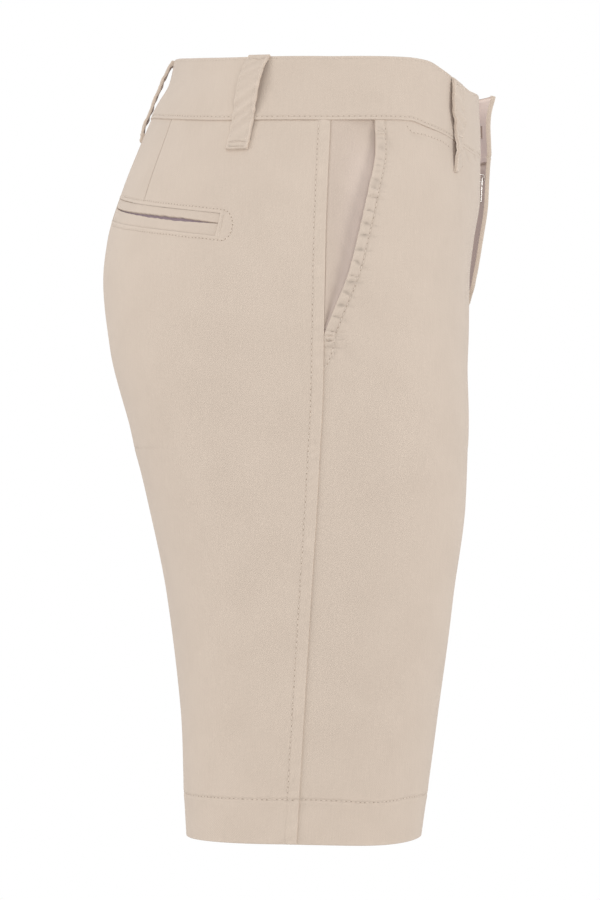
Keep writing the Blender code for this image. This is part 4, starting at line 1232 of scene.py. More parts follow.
# %% Pocket facing
FACING_SINK, FACING_LEAST_SINK, FACING_THICK, FACING_UNDERLAP = 4.6, 1.6, 1.0, 30.0
FACING_TOP, FACING_FOOT = -18.0, -150.0
facing_shares = [np.linspace(-0.06, 1.0, 40), np.linspace(1.0, 1.8, 14)[1:]]
facing_shares = np.concatenate(facing_shares)[None, :]
facing_z = np.linspace(float(band_seam_at["front"](0.12)) + UNDER_BAND, FACING_FOOT, 100)
facing_z = facing_z[:, None] + 0.0 * facing_shares
facing_away = 0.2 + front_pocket_at(facing_z) * np.minimum(facing_shares, 1.0)
facing_away = facing_away + FACING_UNDERLAP * np.maximum(facing_shares - 1.0, 0.0)
facing_wave = {left: pucker_wave(14.0, 61 + left) for left in (False, True)}


def facing_out(z, away, left):
    """How far the facing falls in: not at the side seam, and most behind the pocket's edge."""
    t = np.clip((FACING_TOP - z) / (FACING_TOP - FRONT_POCKET_FOOT), 0.0, 1.0)
    full = FACING_LEAST_SINK + (FACING_SINK - FACING_LEAST_SINK) * np.sin(math.pi * t) ** 0.7
    inwards = fade(away / np.maximum(front_pocket_at(z) - 1.0, 0.5), 0.0, 1.0)
    ripple = 0.3 * facing_wave[left](z + 0.9 * away)
    return ripple * inwards - full * inwards - 0.4 * (away < 0.3)


for side, left in SIDES.items():
    inwards = fade(facing_away / np.maximum(front_pocket_at(facing_z), 0.5), 0.15, 0.95)
    # The facing is darkened with painted shade, more towards the pocket's edge below its top.
    wear = -0.1 - 0.14 * inwards * fade(facing_z, -20.0, -60.0) - 0.03 * inwards
    outer = skin("front", facing_z, facing_away, facing_out(facing_z, facing_away, left))
    uv = np.stack([-facing_away, facing_z], -1)
    # The number called shade is a painted glow that lifts the facing towards the pocket's edge.
    shade = 0.75 * inwards * fade(facing_z, -20.0, -50.0)
    outer, uv, wear, shade = turn_out("front", left, outer, uv, wear, shade)
    facing = cloth_shell(
        *(f"pocket_facing_{side}_cloth", outer, FACING_THICK, uv, wear),
        finish=shaded_facing_twill,
        inside=shade,
        hung_on=[f"waistband_{side}"],
    )
    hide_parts(f"pocket_facing_{side}")
print("a pocket facing:", len(facing.data.polygons), "faces")

# %% [markdown]
# ## The welt pocket
# Two narrow folded strips, the welts, meet at a slit that gapes a little in the middle. They lie
# a little lower than the edges of the window. Behind the slit hangs the pocket's lining, which
# only shows as shade. The slit could be painted on as a dark line, but two strips with a gap
# between them catch the light on their folds and look right from every side.

# %% Welts
WELT_THICK, SLIT_ABOVE_MIDDLE = 1.8, 0.9
slit_half_at = curve_through(
    [(68.0, 0.05), (76.0, 0.25), (84.0, 0.6), (95.0, 0.95), (110.0, 1.05), (125.0, 0.95)]
    + [(137.0, 0.8), (150.0, 0.6), (165.0, 0.45), (185.0, 0.25), (204.0, 0.05)]
)
welt_levels = np.array([1.24, 1.12, 1.0, 0.93, 0.82, 0.68, 0.52, 0.36, 0.24, 0.14, 0.07, 0.03, 0.0])
welt_aways = strung((POCKET_START - 1.6, POCKET_END + 1.6, 1.7))
WINDOW_MIDDLE, WINDOW_ENDS = 135.0, (64.4, 65.4)
WELT_SINK, EDGE_SINK = 0.22, 0.7  # how far the welts lie under the cloth, and their edges more

for part, way in (("upper", 1.0), ("lower", -1.0)):
    for side, left in SIDES.items():
        uneven = 1 + 0.3 * welt_wave[left](1.3 * welt_aways + 20.0 * way)
        slit = (slit_half_at(welt_aways) * uneven)[None, :] + way * SLIT_ABOVE_MIDDLE
        level = welt_levels[:, None]
        height = slit + (POCKET_HALF - slit) * level
        z = pocket_line(welt_aways)[None, :] + way * height
        away = welt_aways[None, :] - POCKET_LEAN * way * height * fade(welt_aways, 110.0, 72.0)
        sunk = EDGE_SINK * fade(level, 0.98, 1.1)
        sunk = sunk + EDGE_SINK * fade(abs(welt_aways - WINDOW_MIDDLE), *WINDOW_ENDS)
        ripple = 0.14 * welt_wave[left](away + 7.0 * way) * (1 - level)
        out = ripple - WELT_SINK - roll(height - slit, 0.9) - sunk
        # The welt's fold at the slit is lighter with wear, and painted shade darkens its outer
        # edge.
        wear = 0.12 * bell(height - slit, 1.0) - 0.1 * bell(level - 1.0, 0.08) + 0.0 * away
        if way < 0:
            z, away, out, wear = z[::-1], away[::-1], out[::-1], wear[::-1]
        outer, uv = skin("back", z, away, out), np.stack([away, z - pocket_line(away)], -1)
        outer, uv, wear = turn_out("back", left, outer, uv, wear)
        name = f"back_welt_{part}_{side}_cloth"
        welt = cloth_shell(
            name, outer, WELT_THICK, uv, wear, held="folded", hung_on=[f"back_{side}"]
        )
        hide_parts(f"back_welt_{part}_{side}")

print("welts:", welt.name, "and its like, with", len(welt.data.polygons), "faces each")

# %% Lining behind the slit
LINING_HALF, LINING_OUT, LINING_THICK, LINING_GLOW = 13.0, -2.05, 0.5, 1.4
lining_z = np.linspace(LINING_HALF, -LINING_HALF, 14)[:, None] + pocket_line(welt_aways)[None, :]
lining_away = welt_aways[None, :] + 0.0 * lining_z
for side, left in SIDES.items():
    outer = skin("back", lining_z, lining_away, LINING_OUT)
    outer, uv = turn_out("back", left, outer, np.stack([lining_away, lining_z], -1))
    lining = cloth_shell(
        *(f"back_pocket_lining_{side}", outer, LINING_THICK, uv),
        finish=shaded_lining_twill,
        within=LINING_GLOW,
        hung_on=[f"back_{side}"],
    )
print("a lining:", len(lining.data.polygons), "faces")

# %% [markdown]
# ## The waistband
# The waistband is a doubled band in two halves, joined at the centre back. Its top edge is a fold
# with an edge stitch, and its lower edge is stitched down 2 mm above the seam. At the fly the
# left end stands off with the left front, and the right end goes on under it. Inside, the band's
# lining lies a little lower than its turned borders. A strip bent round the waist would give a
# level band. Here both edges follow curves that dip towards the fly, so the band joins the panels
# without a gap.

# %% Waistband
WAISTBAND_BORDER_THICK, WAISTBAND_THICK, WAISTBAND_PROUD = 2.2, 1.5, 0.8
BORDER = (3.6, 3.0)  # where the turned border inside the band ends
BAND_STITCH, TOP_STITCH = 2.2, 1.7  # above the seam and under the fold
UNDERLAP_END, UNDERLAP_SINK = 26.0, 4.0
band_wave = {left: gathers(9.0, 53 + left) for left in (False, True)}
band_levels = np.array(
    [0.0, 0.3, 0.7, 1.2, 1.7, 2.3, 3.2, 4.4, 6.0, 8.0, 10.0, 12.0, 14.0, 16.0, 18.0, 20.0, 22.0]
    + [24.0, 26.0, 28.0, 30.0, 32.0, 33.8, 35.2, 36.2, 36.9, 37.4, 37.8, 38.2, 38.7, 39.3, 39.7]
    + [40.0]
)
band_levels = band_levels / band_levels[-1]
band_shares = np.concatenate([strung((-1.0, -0.985, 0.003), (-0.985, 0.985, 0.0085)), [1.0]])


def edges_of_band(share):
    """The heights of the band's lower and upper edges at a share of the way round."""
    back, at = share < 0, abs(share)
    seam = np.where(back, band_seam_at["back"](at), band_seam_at["front"](at))
    return seam, np.where(back, band_top_at["back"](at), band_top_at["front"](at))


def band_relief(z, away, share, left):
    """How far the band stands off the skin, and its wear and painted shade. It is flatter ahead of
    the pocket.
    """
    seam, top = edges_of_band(share)
    ahead = fade(share, 0.3, 0.46)
    out = WAISTBAND_PROUD * (1 - 0.8 * ahead) + 0.0 * z
    if left:
        out = out + fly_lift(True, z, away)
    else:
        out = out - UNDERLAP_SINK * fade(away - girth("front", z), -4.0, 12.0)
    bulge, near = band_wave[left](away - z), bell(z - seam - 4.4, 2.6)
    sunk, top_sunk = bell(z - seam - BAND_STITCH, 0.6), bell(top - z - TOP_STITCH, 0.6)
    out = out + 0.24 * bulge * near - 0.3 * sunk - 0.12 * top_sunk
    out = out - roll(top - z, 1.0) - roll(z - seam, 0.45) * (1 - 0.7 * ahead)
    out = out - roll((share + 1.0) * girth("back", z), 0.6)
    # The folded edges are lighter with wear, the gathers are painted lighter on top and darker
    # between, and painted shade darkens the stitched grooves.
    wear = 0.12 * (bulge - 0.4) * near - 0.16 * sunk + 0.1 * bell(z - seam, 0.7)
    return out, wear + 0.1 * bell(top - z, 0.9) - 0.05 * top_sunk


seam, top = edges_of_band(1.0)
print("the band is", round(float(top - seam), 1), "mm high at the fly")

# %% The band's halves
FLY_BAND_GLOW, FAR = 1.4, 900.0  # FAR is further than any distance along the band

for side, left in SIDES.items():
    reach = FLY_OVERLAP if left else UNDERLAP_END
    ends = [(0.0, reach - 4.0, 2.2), (reach - 4.0, reach - 1.2, 0.7), (reach - 1.2, reach, 0.3)]
    ends = strung(*ends)[1:]
    share = np.append(band_shares, np.ones(len(ends)))[None, :]
    past = np.append(np.zeros(len(band_shares)), ends)[None, :]
    seam, top = edges_of_band(share)
    z = top + (seam - top) * band_levels[:, None]
    share, past = share + 0.0 * z, past + 0.0 * z
    away = np.where(share < 0, share * girth("back", z), share * girth("front", z) + past)
    out, wear = band_relief(z, away, share, left)
    to_end = reach - past + FAR * (share < 1.0)
    by_edge = np.maximum(fade(top - z, *BORDER), fade(z - seam, *BORDER))
    border = np.maximum(by_edge, fade(to_end, 3.8, 3.2))
    outer, uv = skin("front", z, away, out - roll(to_end, 0.8)), np.stack([-away, z], -1)
    thick = WAISTBAND_THICK + (WAISTBAND_BORDER_THICK - WAISTBAND_THICK) * border
    within = GLOW_WITHIN + 0.0 * z
    if left:
        from_end = reach - past + (1.0 - share) * girth("front", z)
        within = GLOW_WITHIN + FLY_BAND_GLOW * fade(from_end, *NEAR_FLY)
    outer, uv, thick, wear, within = turn_out("front", left, outer, uv, thick, wear, within)
    band = cloth_shell(
        f"waistband_{side}_cloth", outer, thick, uv, wear, within=within, held="folded"
    )
    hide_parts(f"waistband_{side}")
print("half a waistband:", len(band.data.polygons), "faces")

# %% [markdown]
# ## Belt loops
# A belt loop is a folded strip of cloth, sewn down at the waistband's top edge and below its seam
# with short dense bars of stitches. Between its ends it stands off the band, so that a belt can
# pass. Each loop follows a few knots: its height, how far round its middle is, and how far its
# underside stands off the skin. A flat strip bent along a curve would do as well, but knots on
# the skin keep a loop close to the cloth that it is sewn to.

# %% The loops' knots
LoopKnot = namedtuple("LoopKnot", "z away stand")
SIDE_BACK_KNOTS = [
    LoopKnot(23.9, 47.4, 1.2),
    LoopKnot(17.0, 49.6, 3.6),
    LoopKnot(6.0, 52.0, 5.0),
    LoopKnot(-6.0, 54.4, 3.6),
    LoopKnot(-16.0, 56.4, 1.6),
    LoopKnot(-27.0, 58.2, 0.9),
    LoopKnot(-36.8, 60.0, 0.7),
]
FRONT_KNOTS = [
    LoopKnot(10.6, 105.6, 0.9),
    LoopKnot(5.0, 104.6, 1.9),
    LoopKnot(-7.0, 103.8, 2.5),
    LoopKnot(-16.0, 106.6, 2.3),
    LoopKnot(-26.0, 109.4, 1.0),
    LoopKnot(-38.0, 110.6, 0.9),
    LoopKnot(-48.6, 111.6, 0.6),
]
CENTRE_BACK_KNOTS = [
    LoopKnot(30.6, 0.0, 1.1),
    LoopKnot(24.4, 0.0, 3.2),
    LoopKnot(14.3, 0.0, 5.2),
    LoopKnot(5.4, 0.0, 4.2),
    LoopKnot(-4.8, 0.0, 2.6),
    LoopKnot(-12.4, 0.0, 2.7),
    LoopKnot(-17.4, 0.0, 1.8),
    LoopKnot(-23.4, 0.0, 0.7),
]
# Tail lift is how far a front loop's tail twists up, gather is how much the long edges pucker, and
# slim is how much thinner a loop is between its sewn ends.
BeltLoop = namedtuple("BeltLoop", "name panel knots seed tail_lift gather slim")
SIDE_BACK_LOOP = BeltLoop("belt_loop_side_back", "back", SIDE_BACK_KNOTS, 71, 0.0, 0.45, 0.0)
FRONT_LOOP = BeltLoop("belt_loop_front", "front", FRONT_KNOTS, 73, 1.9, 0.45, 0.0)
CENTRE_BACK_LOOP = BeltLoop("belt_loop_centre_back", "back", CENTRE_BACK_KNOTS, 79, 0.0, 0.15, 0.4)
print("knots of the loops:", [len(k) for k in (SIDE_BACK_KNOTS, FRONT_KNOTS, CENTRE_BACK_KNOTS)])

# %% A loop's surface
LOOP_HALF, LOOP_THICK, LOOP_CROWN = 7.4, 1.5, 0.2
LOOP_GROOVE = 1.9  # the row of stitches beside each long edge
half_across = np.array([0.0, 1.3, 2.6, 3.8, 4.9, 5.8, 6.5, 7.0, 7.3, 7.4])
loop_across = np.append(-half_across[:0:-1], half_across)


def top_shift(loop, across):
    """How far the band's top edge is above or below its height at the middle of a loop."""
    if loop is CENTRE_BACK_LOOP:
        return 0.0 * across
    way, middle = (1 if loop.panel == "front" else -1), loop.knots[0].away
    length = girth(loop.panel, 0.0)
    beside, here = (edges_of_band(way * (middle + at) / length)[1] for at in (across, 0.0))
    return beside - here


def tail_press(z, across):
    """A front loop's tail is pressed flat on the side towards the fly."""
    return fade(across, -4.0, 4.0) * fade(z, -19.0, -30.0)


def tail_crease(z, across):
    """The slanting crease where the flat side of a front loop's tail starts."""
    return bell(across + 3.4 + 0.08 * (z + 36.0), 0.8) * fade(z, -23.0, -28.0)


def loop_surface(loop):
    """Two functions of height and distance across a loop: places on its outer face, and its wear
    and painted shade.
    """
    away_at, stand_at = column(loop.knots, "z", "away"), column(loop.knots, "z", "stand")
    top, foot = loop.knots[0].z, loop.knots[-1].z
    wrinkle, bulge = pucker_wave(7.0, loop.seed), gathers(4.5, loop.seed + 1)

    def place(z, across, out):
        away = away_at(z) + across
        if loop is CENTRE_BACK_LOOP:
            away = away + girth("back", z)
        edge = LOOP_HALF - abs(across)
        free = fade(z, foot, foot + 5.0) * fade(z, top, top - 3.0)
        lifted = loop.tail_lift * fade(-across, 1.0, LOOP_HALF) * bell(z + 33.0, 7.5)
        stand = stand_at(z) + LOOP_THICK + LOOP_CROWN * (1 - (across / LOOP_HALF) ** 2) + lifted
        wrinkled = free * (0.35 + 0.4 * bell(z + 16.0, 9.0)) * wrinkle(z + 0.7 * across)
        stand = stand + wrinkled + loop.gather * bulge(z) * bell(edge - 1.0, 1.6)
        if loop.tail_lift:
            stand = stand + (0.75 - stand) * tail_press(z, across)
            stand = stand - 0.6 * tail_crease(z, across)
        stand = stand - roll(edge, 0.6) - 0.25 * bell(edge - LOOP_GROOVE, 0.5)
        stand = stand - roll(top - z, 0.7) - roll(z - foot, 0.7)
        level = z + top_shift(loop, across) * fade(z, -14.0, 8.0)
        if loop.tail_lift:
            level = level + 4.5 * fade(across, -4.5, 7.0) * fade(z, -30.0, foot)
        return skin(loop.panel, level, away, stand + out)

    def wear_and_shade_at(z, across):
        edge = LOOP_HALF - abs(across)
        # The loop's edges are lighter with wear, its wrinkles are painted lighter and darker, and
        # painted shade darkens the stitched grooves and the tail's crease.
        rubbed_and_shaded = 0.22 * bell(edge, 1.0) - 0.14 * bell(edge - LOOP_GROOVE, 0.5)
        if loop.tail_lift:
            rubbed_and_shaded = rubbed_and_shaded - 0.4 * tail_crease(z, across)
        return rubbed_and_shaded + 0.12 * wrinkle(z + 0.7 * across) + 0.12 * (bulge(z) - 0.4)

    return place, wear_and_shade_at


print("columns across a loop:", len(loop_across))

# %% The loops' shells
TAIL_THIN, END_FOLD = 1.0, 0.9  # what the flat tail loses, and the folded ends gain


def belt_loop(name, loop, left):
    """One belt loop, mirrored for the wearer's left."""
    place, wear_and_shade_at = loop_surface(loop)
    top, foot = loop.knots[0].z, loop.knots[-1].z
    z = strung((top, top - 1.5, 0.3), (top - 1.5, foot + 1.5, 1.1), (foot + 1.5, foot, 0.3))
    z = z[:, None] + 0.0 * loop_across[None, :]
    across = loop_across[None, :] + 0.0 * z
    if loop.tail_lift:
        thick = LOOP_THICK - TAIL_THIN * tail_press(z, across)
    else:
        folded = fade(z, foot + 5.2, foot + 4.8) + fade(z, top - 3.6, top - 3.2)
        thick = LOOP_THICK - loop.slim + (END_FOLD + loop.slim) * folded
    outer, uv, wear = place(z, across, 0.0), np.stack([across, z], -1), wear_and_shade_at(z, across)
    outer, uv, thick, wear = turn_out(loop.panel, left, outer, uv, thick, wear)
    hung_on = ["waistband_left" if left else "waistband_right"]
    made = cloth_shell(f"{name}_cloth", outer, thick, uv, wear, held="folded", hung_on=hung_on)
    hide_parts(name)
    return made


loops = [belt_loop(CENTRE_BACK_LOOP.name, CENTRE_BACK_LOOP, False)]
for loop in (SIDE_BACK_LOOP, FRONT_LOOP):
    loops += [belt_loop(f"{loop.name}_{side}", loop, left) for side, left in SIDES.items()]
print("belt loops:", [loop.name for loop in loops])

# %% [markdown]
# ## The fly
# Behind the left front hangs a facing, and between the fronts lies the zip: two tapes with a coil
# in the middle. They are upright strips beside the centre line. The zip could end under its
# slider, because the fronts hide the rest from outside. It goes on down to the fly's foot,
# because one can look in from above.

# %% Facing and tapes
ZIP_CENTRE, FACING_TOP_Z, ZIP_TAPE_TOP = 9.0, -35.5, -38.0
TAPE_THICK, FLY_FACING_THICK = 0.6, 0.6
UNDER_FRONT = CLOTH + 0.4
# The fly's strips are painted a little lighter, to lift the shade behind the fly, and they glow.
STRIP_PAINTED_LIGHT, STRIP_GLOW = 0.1, 1.3


def left_lift(z, past):
    """The left front's stand-off at a place past the centre line towards the wearer's left."""
    return fly_lift(True, z, girth("front", z) - past)


def fly_strip(name, pasts, top_z, thick, out_at, finish):
    """An upright strip behind the fly, from its places past the centre line."""
    z = np.append(np.arange(top_z, FLY_FOOT, -2.0), FLY_FOOT)[:, None] + 0.0 * pasts[None, :]
    past = pasts[None, :] + 0.0 * z
    narrow = np.maximum(fly_reach(True, z) / FLY_OVERLAP, 0.05)
    past = np.where(past > 0, past, past * narrow)
    away = girth("front", z) + past
    outer, uv = skin("front", z, away, out_at(z, past)), np.stack([-away, z], -1)
    strip = cloth_shell(
        *(f"{name}_cloth", outer[:, ::-1], thick, uv[:, ::-1], STRIP_PAINTED_LIGHT),
        finish=finish,
        inside=STRIP_GLOW,
        within=STRIP_GLOW,
        hung_on=["front_right" if "right" in name else "front_left"],
    )
    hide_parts(name)
    return strip


facing = fly_strip(
    "fly_facing",
    strung((-5.4, -4.6, 0.4), (-4.6, 30.0, 2.2)),
    FACING_TOP_Z,
    FLY_FACING_THICK,
    lambda z, past: left_lift(z, past) - CLOTH - 0.05,
    shell_twill,
)
right_tape = fly_strip(
    "zip_tape_right",
    strung((-10.0, 5.6, 1.6)),
    ZIP_TAPE_TOP,
    TAPE_THICK,
    lambda z, past: -UNDER_FRONT + 0.0 * z,
    zip_tape,
)
left_tape = fly_strip(
    "zip_tape_left",
    strung((12.4, 26.0, 1.6)),
    ZIP_TAPE_TOP,
    TAPE_THICK,
    lambda z, past: np.minimum(-0.5, left_lift(z, past) - UNDER_FRONT - FLY_FACING_THICK - 0.4),
    zip_tape,
)
print("fly strips:", facing.name, right_tape.name, left_tape.name)

# %% [markdown]
# ### Coil, slider and pull tab
# The coil's teeth are small nylon eyes 1.3 mm apart that lock between each other. Each is a
# squashed ball. The slider is a cast body with a bridge over its middle, and the tab hangs from
# the bridge by its eye. The slider's plates and the tab are drawn as flat outlines with rounded
# edges, as a die would cut them, and the bridge as a bent rod. Curves give both, because Blender
# can bevel and fill a curve.

# %% Small rounded bodies
def beads(name, centres, axes, finish, rings=5, segments=8):
    """One mesh of many squashed balls. Axes holds three half-length vectors for each ball."""
    polar = np.linspace(0.0, math.pi, rings + 2)
    turn = np.linspace(0.0, 2 * math.pi, segments, endpoint=False)
    unit = [(0.0, 0.0, 1.0)]
    for p in polar[1:-1]:
        unit += [(math.sin(p) * math.cos(a), math.sin(p) * math.sin(a), math.cos(p)) for a in turn]
    unit = np.array(unit + [(0.0, 0.0, -1.0)])
    faces, end = [], len(unit) - 1
    for i in range(segments):
        j = (i + 1) % segments
        faces.append((0, 1 + i, 1 + j))
        for ring in range(rings - 1):
            a = 1 + ring * segments
            faces += [(a + i, a + segments + i, a + segments + j), (a + i, a + segments + j, a + j)]
        a = 1 + (rings - 1) * segments
        faces.append((a + i, end, a + j))
    faces = np.array(faces)
    points = centres[:, None, :] + np.einsum("nk,bkj->bnj", unit, axes)
    all_faces = faces[None] + (np.arange(len(centres)) * len(unit))[:, None, None]
    mesh = bpy.data.meshes.new(name)
    mesh.from_pydata((points.reshape(-1, 3) * MM).tolist(), [], all_faces.reshape(-1, 3).tolist())
    mesh.shade_smooth()
    mesh.materials.append(finish)
    made = put_in_scene(name, mesh)
    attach(made, "shorts")
    return made


# %% Coil
COIL_PITCH, COIL_TOP, COIL_OUT = 1.3, -52.5, -1.0
EYE_FROM_MIDDLE = 1.4
EYE_HALF_WIDTH, EYE_HALF_HEIGHT, EYE_HALF_DEPTH = 1.7, 0.5, 0.65
coil_z = np.arange(COIL_TOP, FLY_FOOT + 1.0, -COIL_PITCH)
coil_centres, coil_axes = [], []
for row, side_of_coil in ((0.0, -1.0), (0.5, 1.0)):
    z = coil_z - row * COIL_PITCH
    away = girth("front", z) + (ZIP_CENTRE + side_of_coil * EYE_FROM_MIDDLE)
    centre = skin("front", z, away, COIL_OUT)
    across = skin("front", z, away + 1.0, COIL_OUT) - centre
    down = skin("front", z - 1.0, away, COIL_OUT) - centre
    out = np.cross(down, across)
    out /= np.linalg.norm(out, axis=-1, keepdims=True)
    coil_centres.append(centre)
    axes = [across * EYE_HALF_WIDTH, down * EYE_HALF_HEIGHT, out * EYE_HALF_DEPTH]
    coil_axes.append(np.stack(axes, 1))
coil = beads("zip_chain_coil", np.concatenate(coil_centres), np.concatenate(coil_axes), zip_coil)
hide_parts("zip_chain")
print("coil eyes:", 2 * len(coil_z))


# %% Plates and rods
def solid_from(curve, finish, sharp_angle):
    """Turns a bevelled curve into a metal object of the same name."""
    shape = bpy.data.objects.new(curve.name, curve)
    mesh = bpy.data.meshes.new_from_object(shape)
    bpy.data.objects.remove(shape)
    mesh.name = curve.name
    mesh.shade_smooth()
    mesh.set_sharp_from_angle(angle=math.radians(sharp_angle))
    mesh.materials.append(finish)
    return put_in_scene(curve.name, mesh)


def die_cut(name, outline, thick, bevel, hole=()):
    """A flat nickel plate in X and Z, with a hole if one is given, as thick as the metal, with its
    edges rounded. Places are in millimetres from the tab's pivot."""
    curve = bpy.data.curves.new(name, "CURVE")
    curve.dimensions, curve.fill_mode = "2D", "BOTH"
    curve.extrude = (thick / 2 - bevel) * MM
    curve.bevel_depth, curve.bevel_resolution = bevel * MM, 2
    for ring in filter(None, (outline, hole)):
        spline = curve.splines.new("POLY")
        spline.points.add(len(ring) - 1)
        for point, (x, z) in zip(spline.points, ring):
            point.co = (x * MM, z * MM, 0.0, 1.0)
        spline.use_cyclic_u = True
    plate = solid_from(curve, nickel, 50.0)
    plate.data.transform(Matrix.Rotation(math.radians(90.0), 4, "X"))
    return plate


def rounded_box(half_wide, top, bottom, corner, steps=6):
    """A rounded rectangle's outline, anticlockwise."""
    ring = []
    for x, z, start in (
        (half_wide - corner, top - corner, 0.0),
        (-half_wide + corner, top - corner, 90.0),
        (-half_wide + corner, bottom + corner, 180.0),
        (half_wide - corner, bottom + corner, 270.0),
    ):
        for i in range(steps + 1):
            a = math.radians(start + 90.0 * i / steps)
            ring.append((x + corner * math.cos(a), z + corner * math.sin(a)))
    return ring


def rod(name, points, radius):
    """A round nickel rod along a few points, in millimetres."""
    curve = bpy.data.curves.new(name, "CURVE")
    curve.dimensions, curve.bevel_depth, curve.bevel_resolution = "3D", radius * MM, 3
    curve.use_fill_caps = True
    spline = curve.splines.new("POLY")
    spline.points.add(len(points) - 1)
    for point, place in zip(spline.points, points):
        point.co = (*(np.array(place) * MM), 1.0)
    return solid_from(curve, nickel, 60.0)


PIVOT_Z, PIVOT_OUT = -45.5, 2.2
pivot = skin("front", PIVOT_Z, girth("front", PIVOT_Z) + ZIP_CENTRE, PIVOT_OUT).reshape(3)
print("the tab's pivot:", pivot.round(1))

# %% Slider
# Seen from the front, the body is wide at the shoulders and narrows to the coil below.
SLIDER_OUTLINE = [(-2.2, 3.5), (-3.05, 2.6), (-3.1, 0.6), (-2.5, -3.0), (-2.3, -5.2), (-1.7, -5.5)]
PLATE_THICK, PLATE_BEVEL, BRIDGE_RADIUS = 0.9, 0.28, 0.55
slider_ring = SLIDER_OUTLINE + [(-x, z) for x, z in reversed(SLIDER_OUTLINE)]
plates = [
    die_cut("zip_slider_front_plate", slider_ring, PLATE_THICK, PLATE_BEVEL),
    die_cut("zip_slider_back_plate", slider_ring, PLATE_THICK, PLATE_BEVEL),
    die_cut("zip_slider_core", rounded_box(1.2, 3.3, -1.0, 0.4), 1.2, 0.2),
]
for plate, out in zip(plates, (2.45, 4.2, 3.33)):
    plate.location = (pivot + (0.0, out, 0.0)) * MM
bridge_points = [(0.0, 2.2, 2.3), (0.0, -0.8, 2.1), (0.0, -1.2, 1.5), (0.0, -1.4, 0.5)]
bridge_points += [(0.0, -1.4, -0.7), (0.0, -1.2, -1.7), (0.0, -0.8, -2.3), (0.0, 2.2, -2.5)]
bridge = rod("zip_slider_bridge_rod", [pivot + p for p in bridge_points], BRIDGE_RADIUS)
for piece in plates + [bridge]:
    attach(piece, "shorts")
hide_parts("zip_slider")
print("slider:", [piece.name for piece in plates], bridge.name)

# %% Pull tab
PULL_LEAN = math.radians(3.0)
eye = list(reversed(rounded_box(1.3, -0.6, -3.4, 0.5)))
tab = die_cut("zip_pull_tab_plate", rounded_box(2.3, 0.65, -16.5, 0.6), 0.9, 0.2, eye)
tab.data.transform(Matrix.Rotation(PULL_LEAN, 4, "X"))
tab.location = pivot * MM
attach(tab, "pull_tab")
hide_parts("zip_pull_tab")
print("tab:", tab.name)

# %% [markdown]
# ### Hook and bar
# A flat hook inside the left end of the waistband closes over a bar on the right end. The solids
# have the right shape, so they only get the metal.

# %% Hook and bar
for name in ("waist_hook", "waist_bar"):
    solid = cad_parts[name]
    solid.data.materials.clear()
    solid.data.materials.append(hook_steel)
print("hook and bar:", hook_steel.name)

# %% [markdown]
# ## Stitches
# Topstitching is what makes flat cloth look sewn. Each stitch is a short thread that dives into
# the cloth at both ends, and a needle hole shows as a tiny shade between two stitches. A seam is
# given as a path of heights and distances on one piece, and stitches are set along it at an even
# pitch. A dashed texture would be quicker to draw, but it would lie flat, and real threads stand
# up and catch the light.

# %% Rows of stitches
STITCH_PITCH, THREAD_RADIUS, FINE_THREAD = 3.5, 0.27, 0.2
STITCH_BITE = 0.72  # the share of each stitch that shows
STITCH_SWAY = 0.22  # how far a row strays from its line, as when the cloth is guided by hand
HOLE_HALF = (0.34, 0.06, 0.42)  # across the row, out of the cloth and along the row


def on_back(left):
    """Places on a back's outer face."""
    return lambda z, away, out: skin("back", z, away, back_relief(z, away, left)[0] + out)


def on_front(left):
    """Places on a front's outer face."""
    return lambda z, away, out: skin("front", z, away, front_relief(z, away, left)[0] + out)


def to_side(left):
    """What places and axes are multiplied by for the wearer's left or right."""
    return np.array([-1.0, 1.0, 1.0]) if left else np.ones(3)


def stitched(name, path, surface, left, pitch=STITCH_PITCH, holes=True, radius=THREAD_RADIUS):
    """Stitches along a path of (z, away) places on a surface, mirrored for the wearer's left."""
    z, away = np.array(path, float).T
    fine = np.linspace(0.0, len(z) - 1.0, max(400, 12 * len(z)))
    z, away = (np.interp(fine, np.arange(len(z)), v) for v in (z, away))
    line = surface(z, away, 0.0)
    run = np.append(0.0, np.cumsum(np.linalg.norm(np.diff(line, axis=0), axis=1)))
    count = max(1, int(run[-1] / pitch))
    sway = pucker_wave(26.0, len(name), 900.0)

    def swayed(at):
        """Heights and distances from the side seam at places along the row."""
        swayed_z = np.interp(at, run, z) + STITCH_SWAY * sway(at)
        return swayed_z, np.interp(at, run, away) + STITCH_SWAY * sway(at + 300.0)

    middles = (np.arange(count) + 0.5) * run[-1] / count
    here = surface(*swayed(middles), radius * 0.35)
    out = surface(*swayed(middles), 1.0) - here
    ahead, behind = (
        np.stack([np.interp(middles + step, run, line[:, k]) for k in range(3)], -1)
        for step in (0.5, -0.5)
    )
    along = ahead - behind
    along /= np.maximum(np.linalg.norm(along, axis=-1, keepdims=True), 1e-9)
    out /= np.linalg.norm(out, axis=-1, keepdims=True)
    across = np.cross(along, out)
    axes = np.stack([across * radius, out * radius, along * pitch * STITCH_BITE / 2], 1)
    turn = to_side(left)
    made = [beads(name, here * turn, axes * turn, thread, rings=3, segments=6)]
    # Dark beads between the stitches are painted shade in the needle holes.
    if holes:
        hole = surface(*swayed(np.arange(1, count) * run[-1] / count), 0.02)
        halves = (across[1:] * HOLE_HALF[0], out[1:] * HOLE_HALF[1], along[1:] * HOLE_HALF[2])
        hole_axes = np.stack(halves, 1)
        made.append(beads(f"{name}_holes", hole * turn, hole_axes * turn, needle_shade, 3, 6))
    return made


print("a stitch shows", STITCH_PITCH * STITCH_BITE, "mm of its thread")

# %% Topstitching of the legs
def both_stitched(name, path, surface_of, **more):
    """The same row of stitches on the wearer's right and left."""
    rows = []
    for side, left in SIDES.items():
        rows += stitched(f"{name}_{side}", path, surface_of(left), left, **more)
    return rows


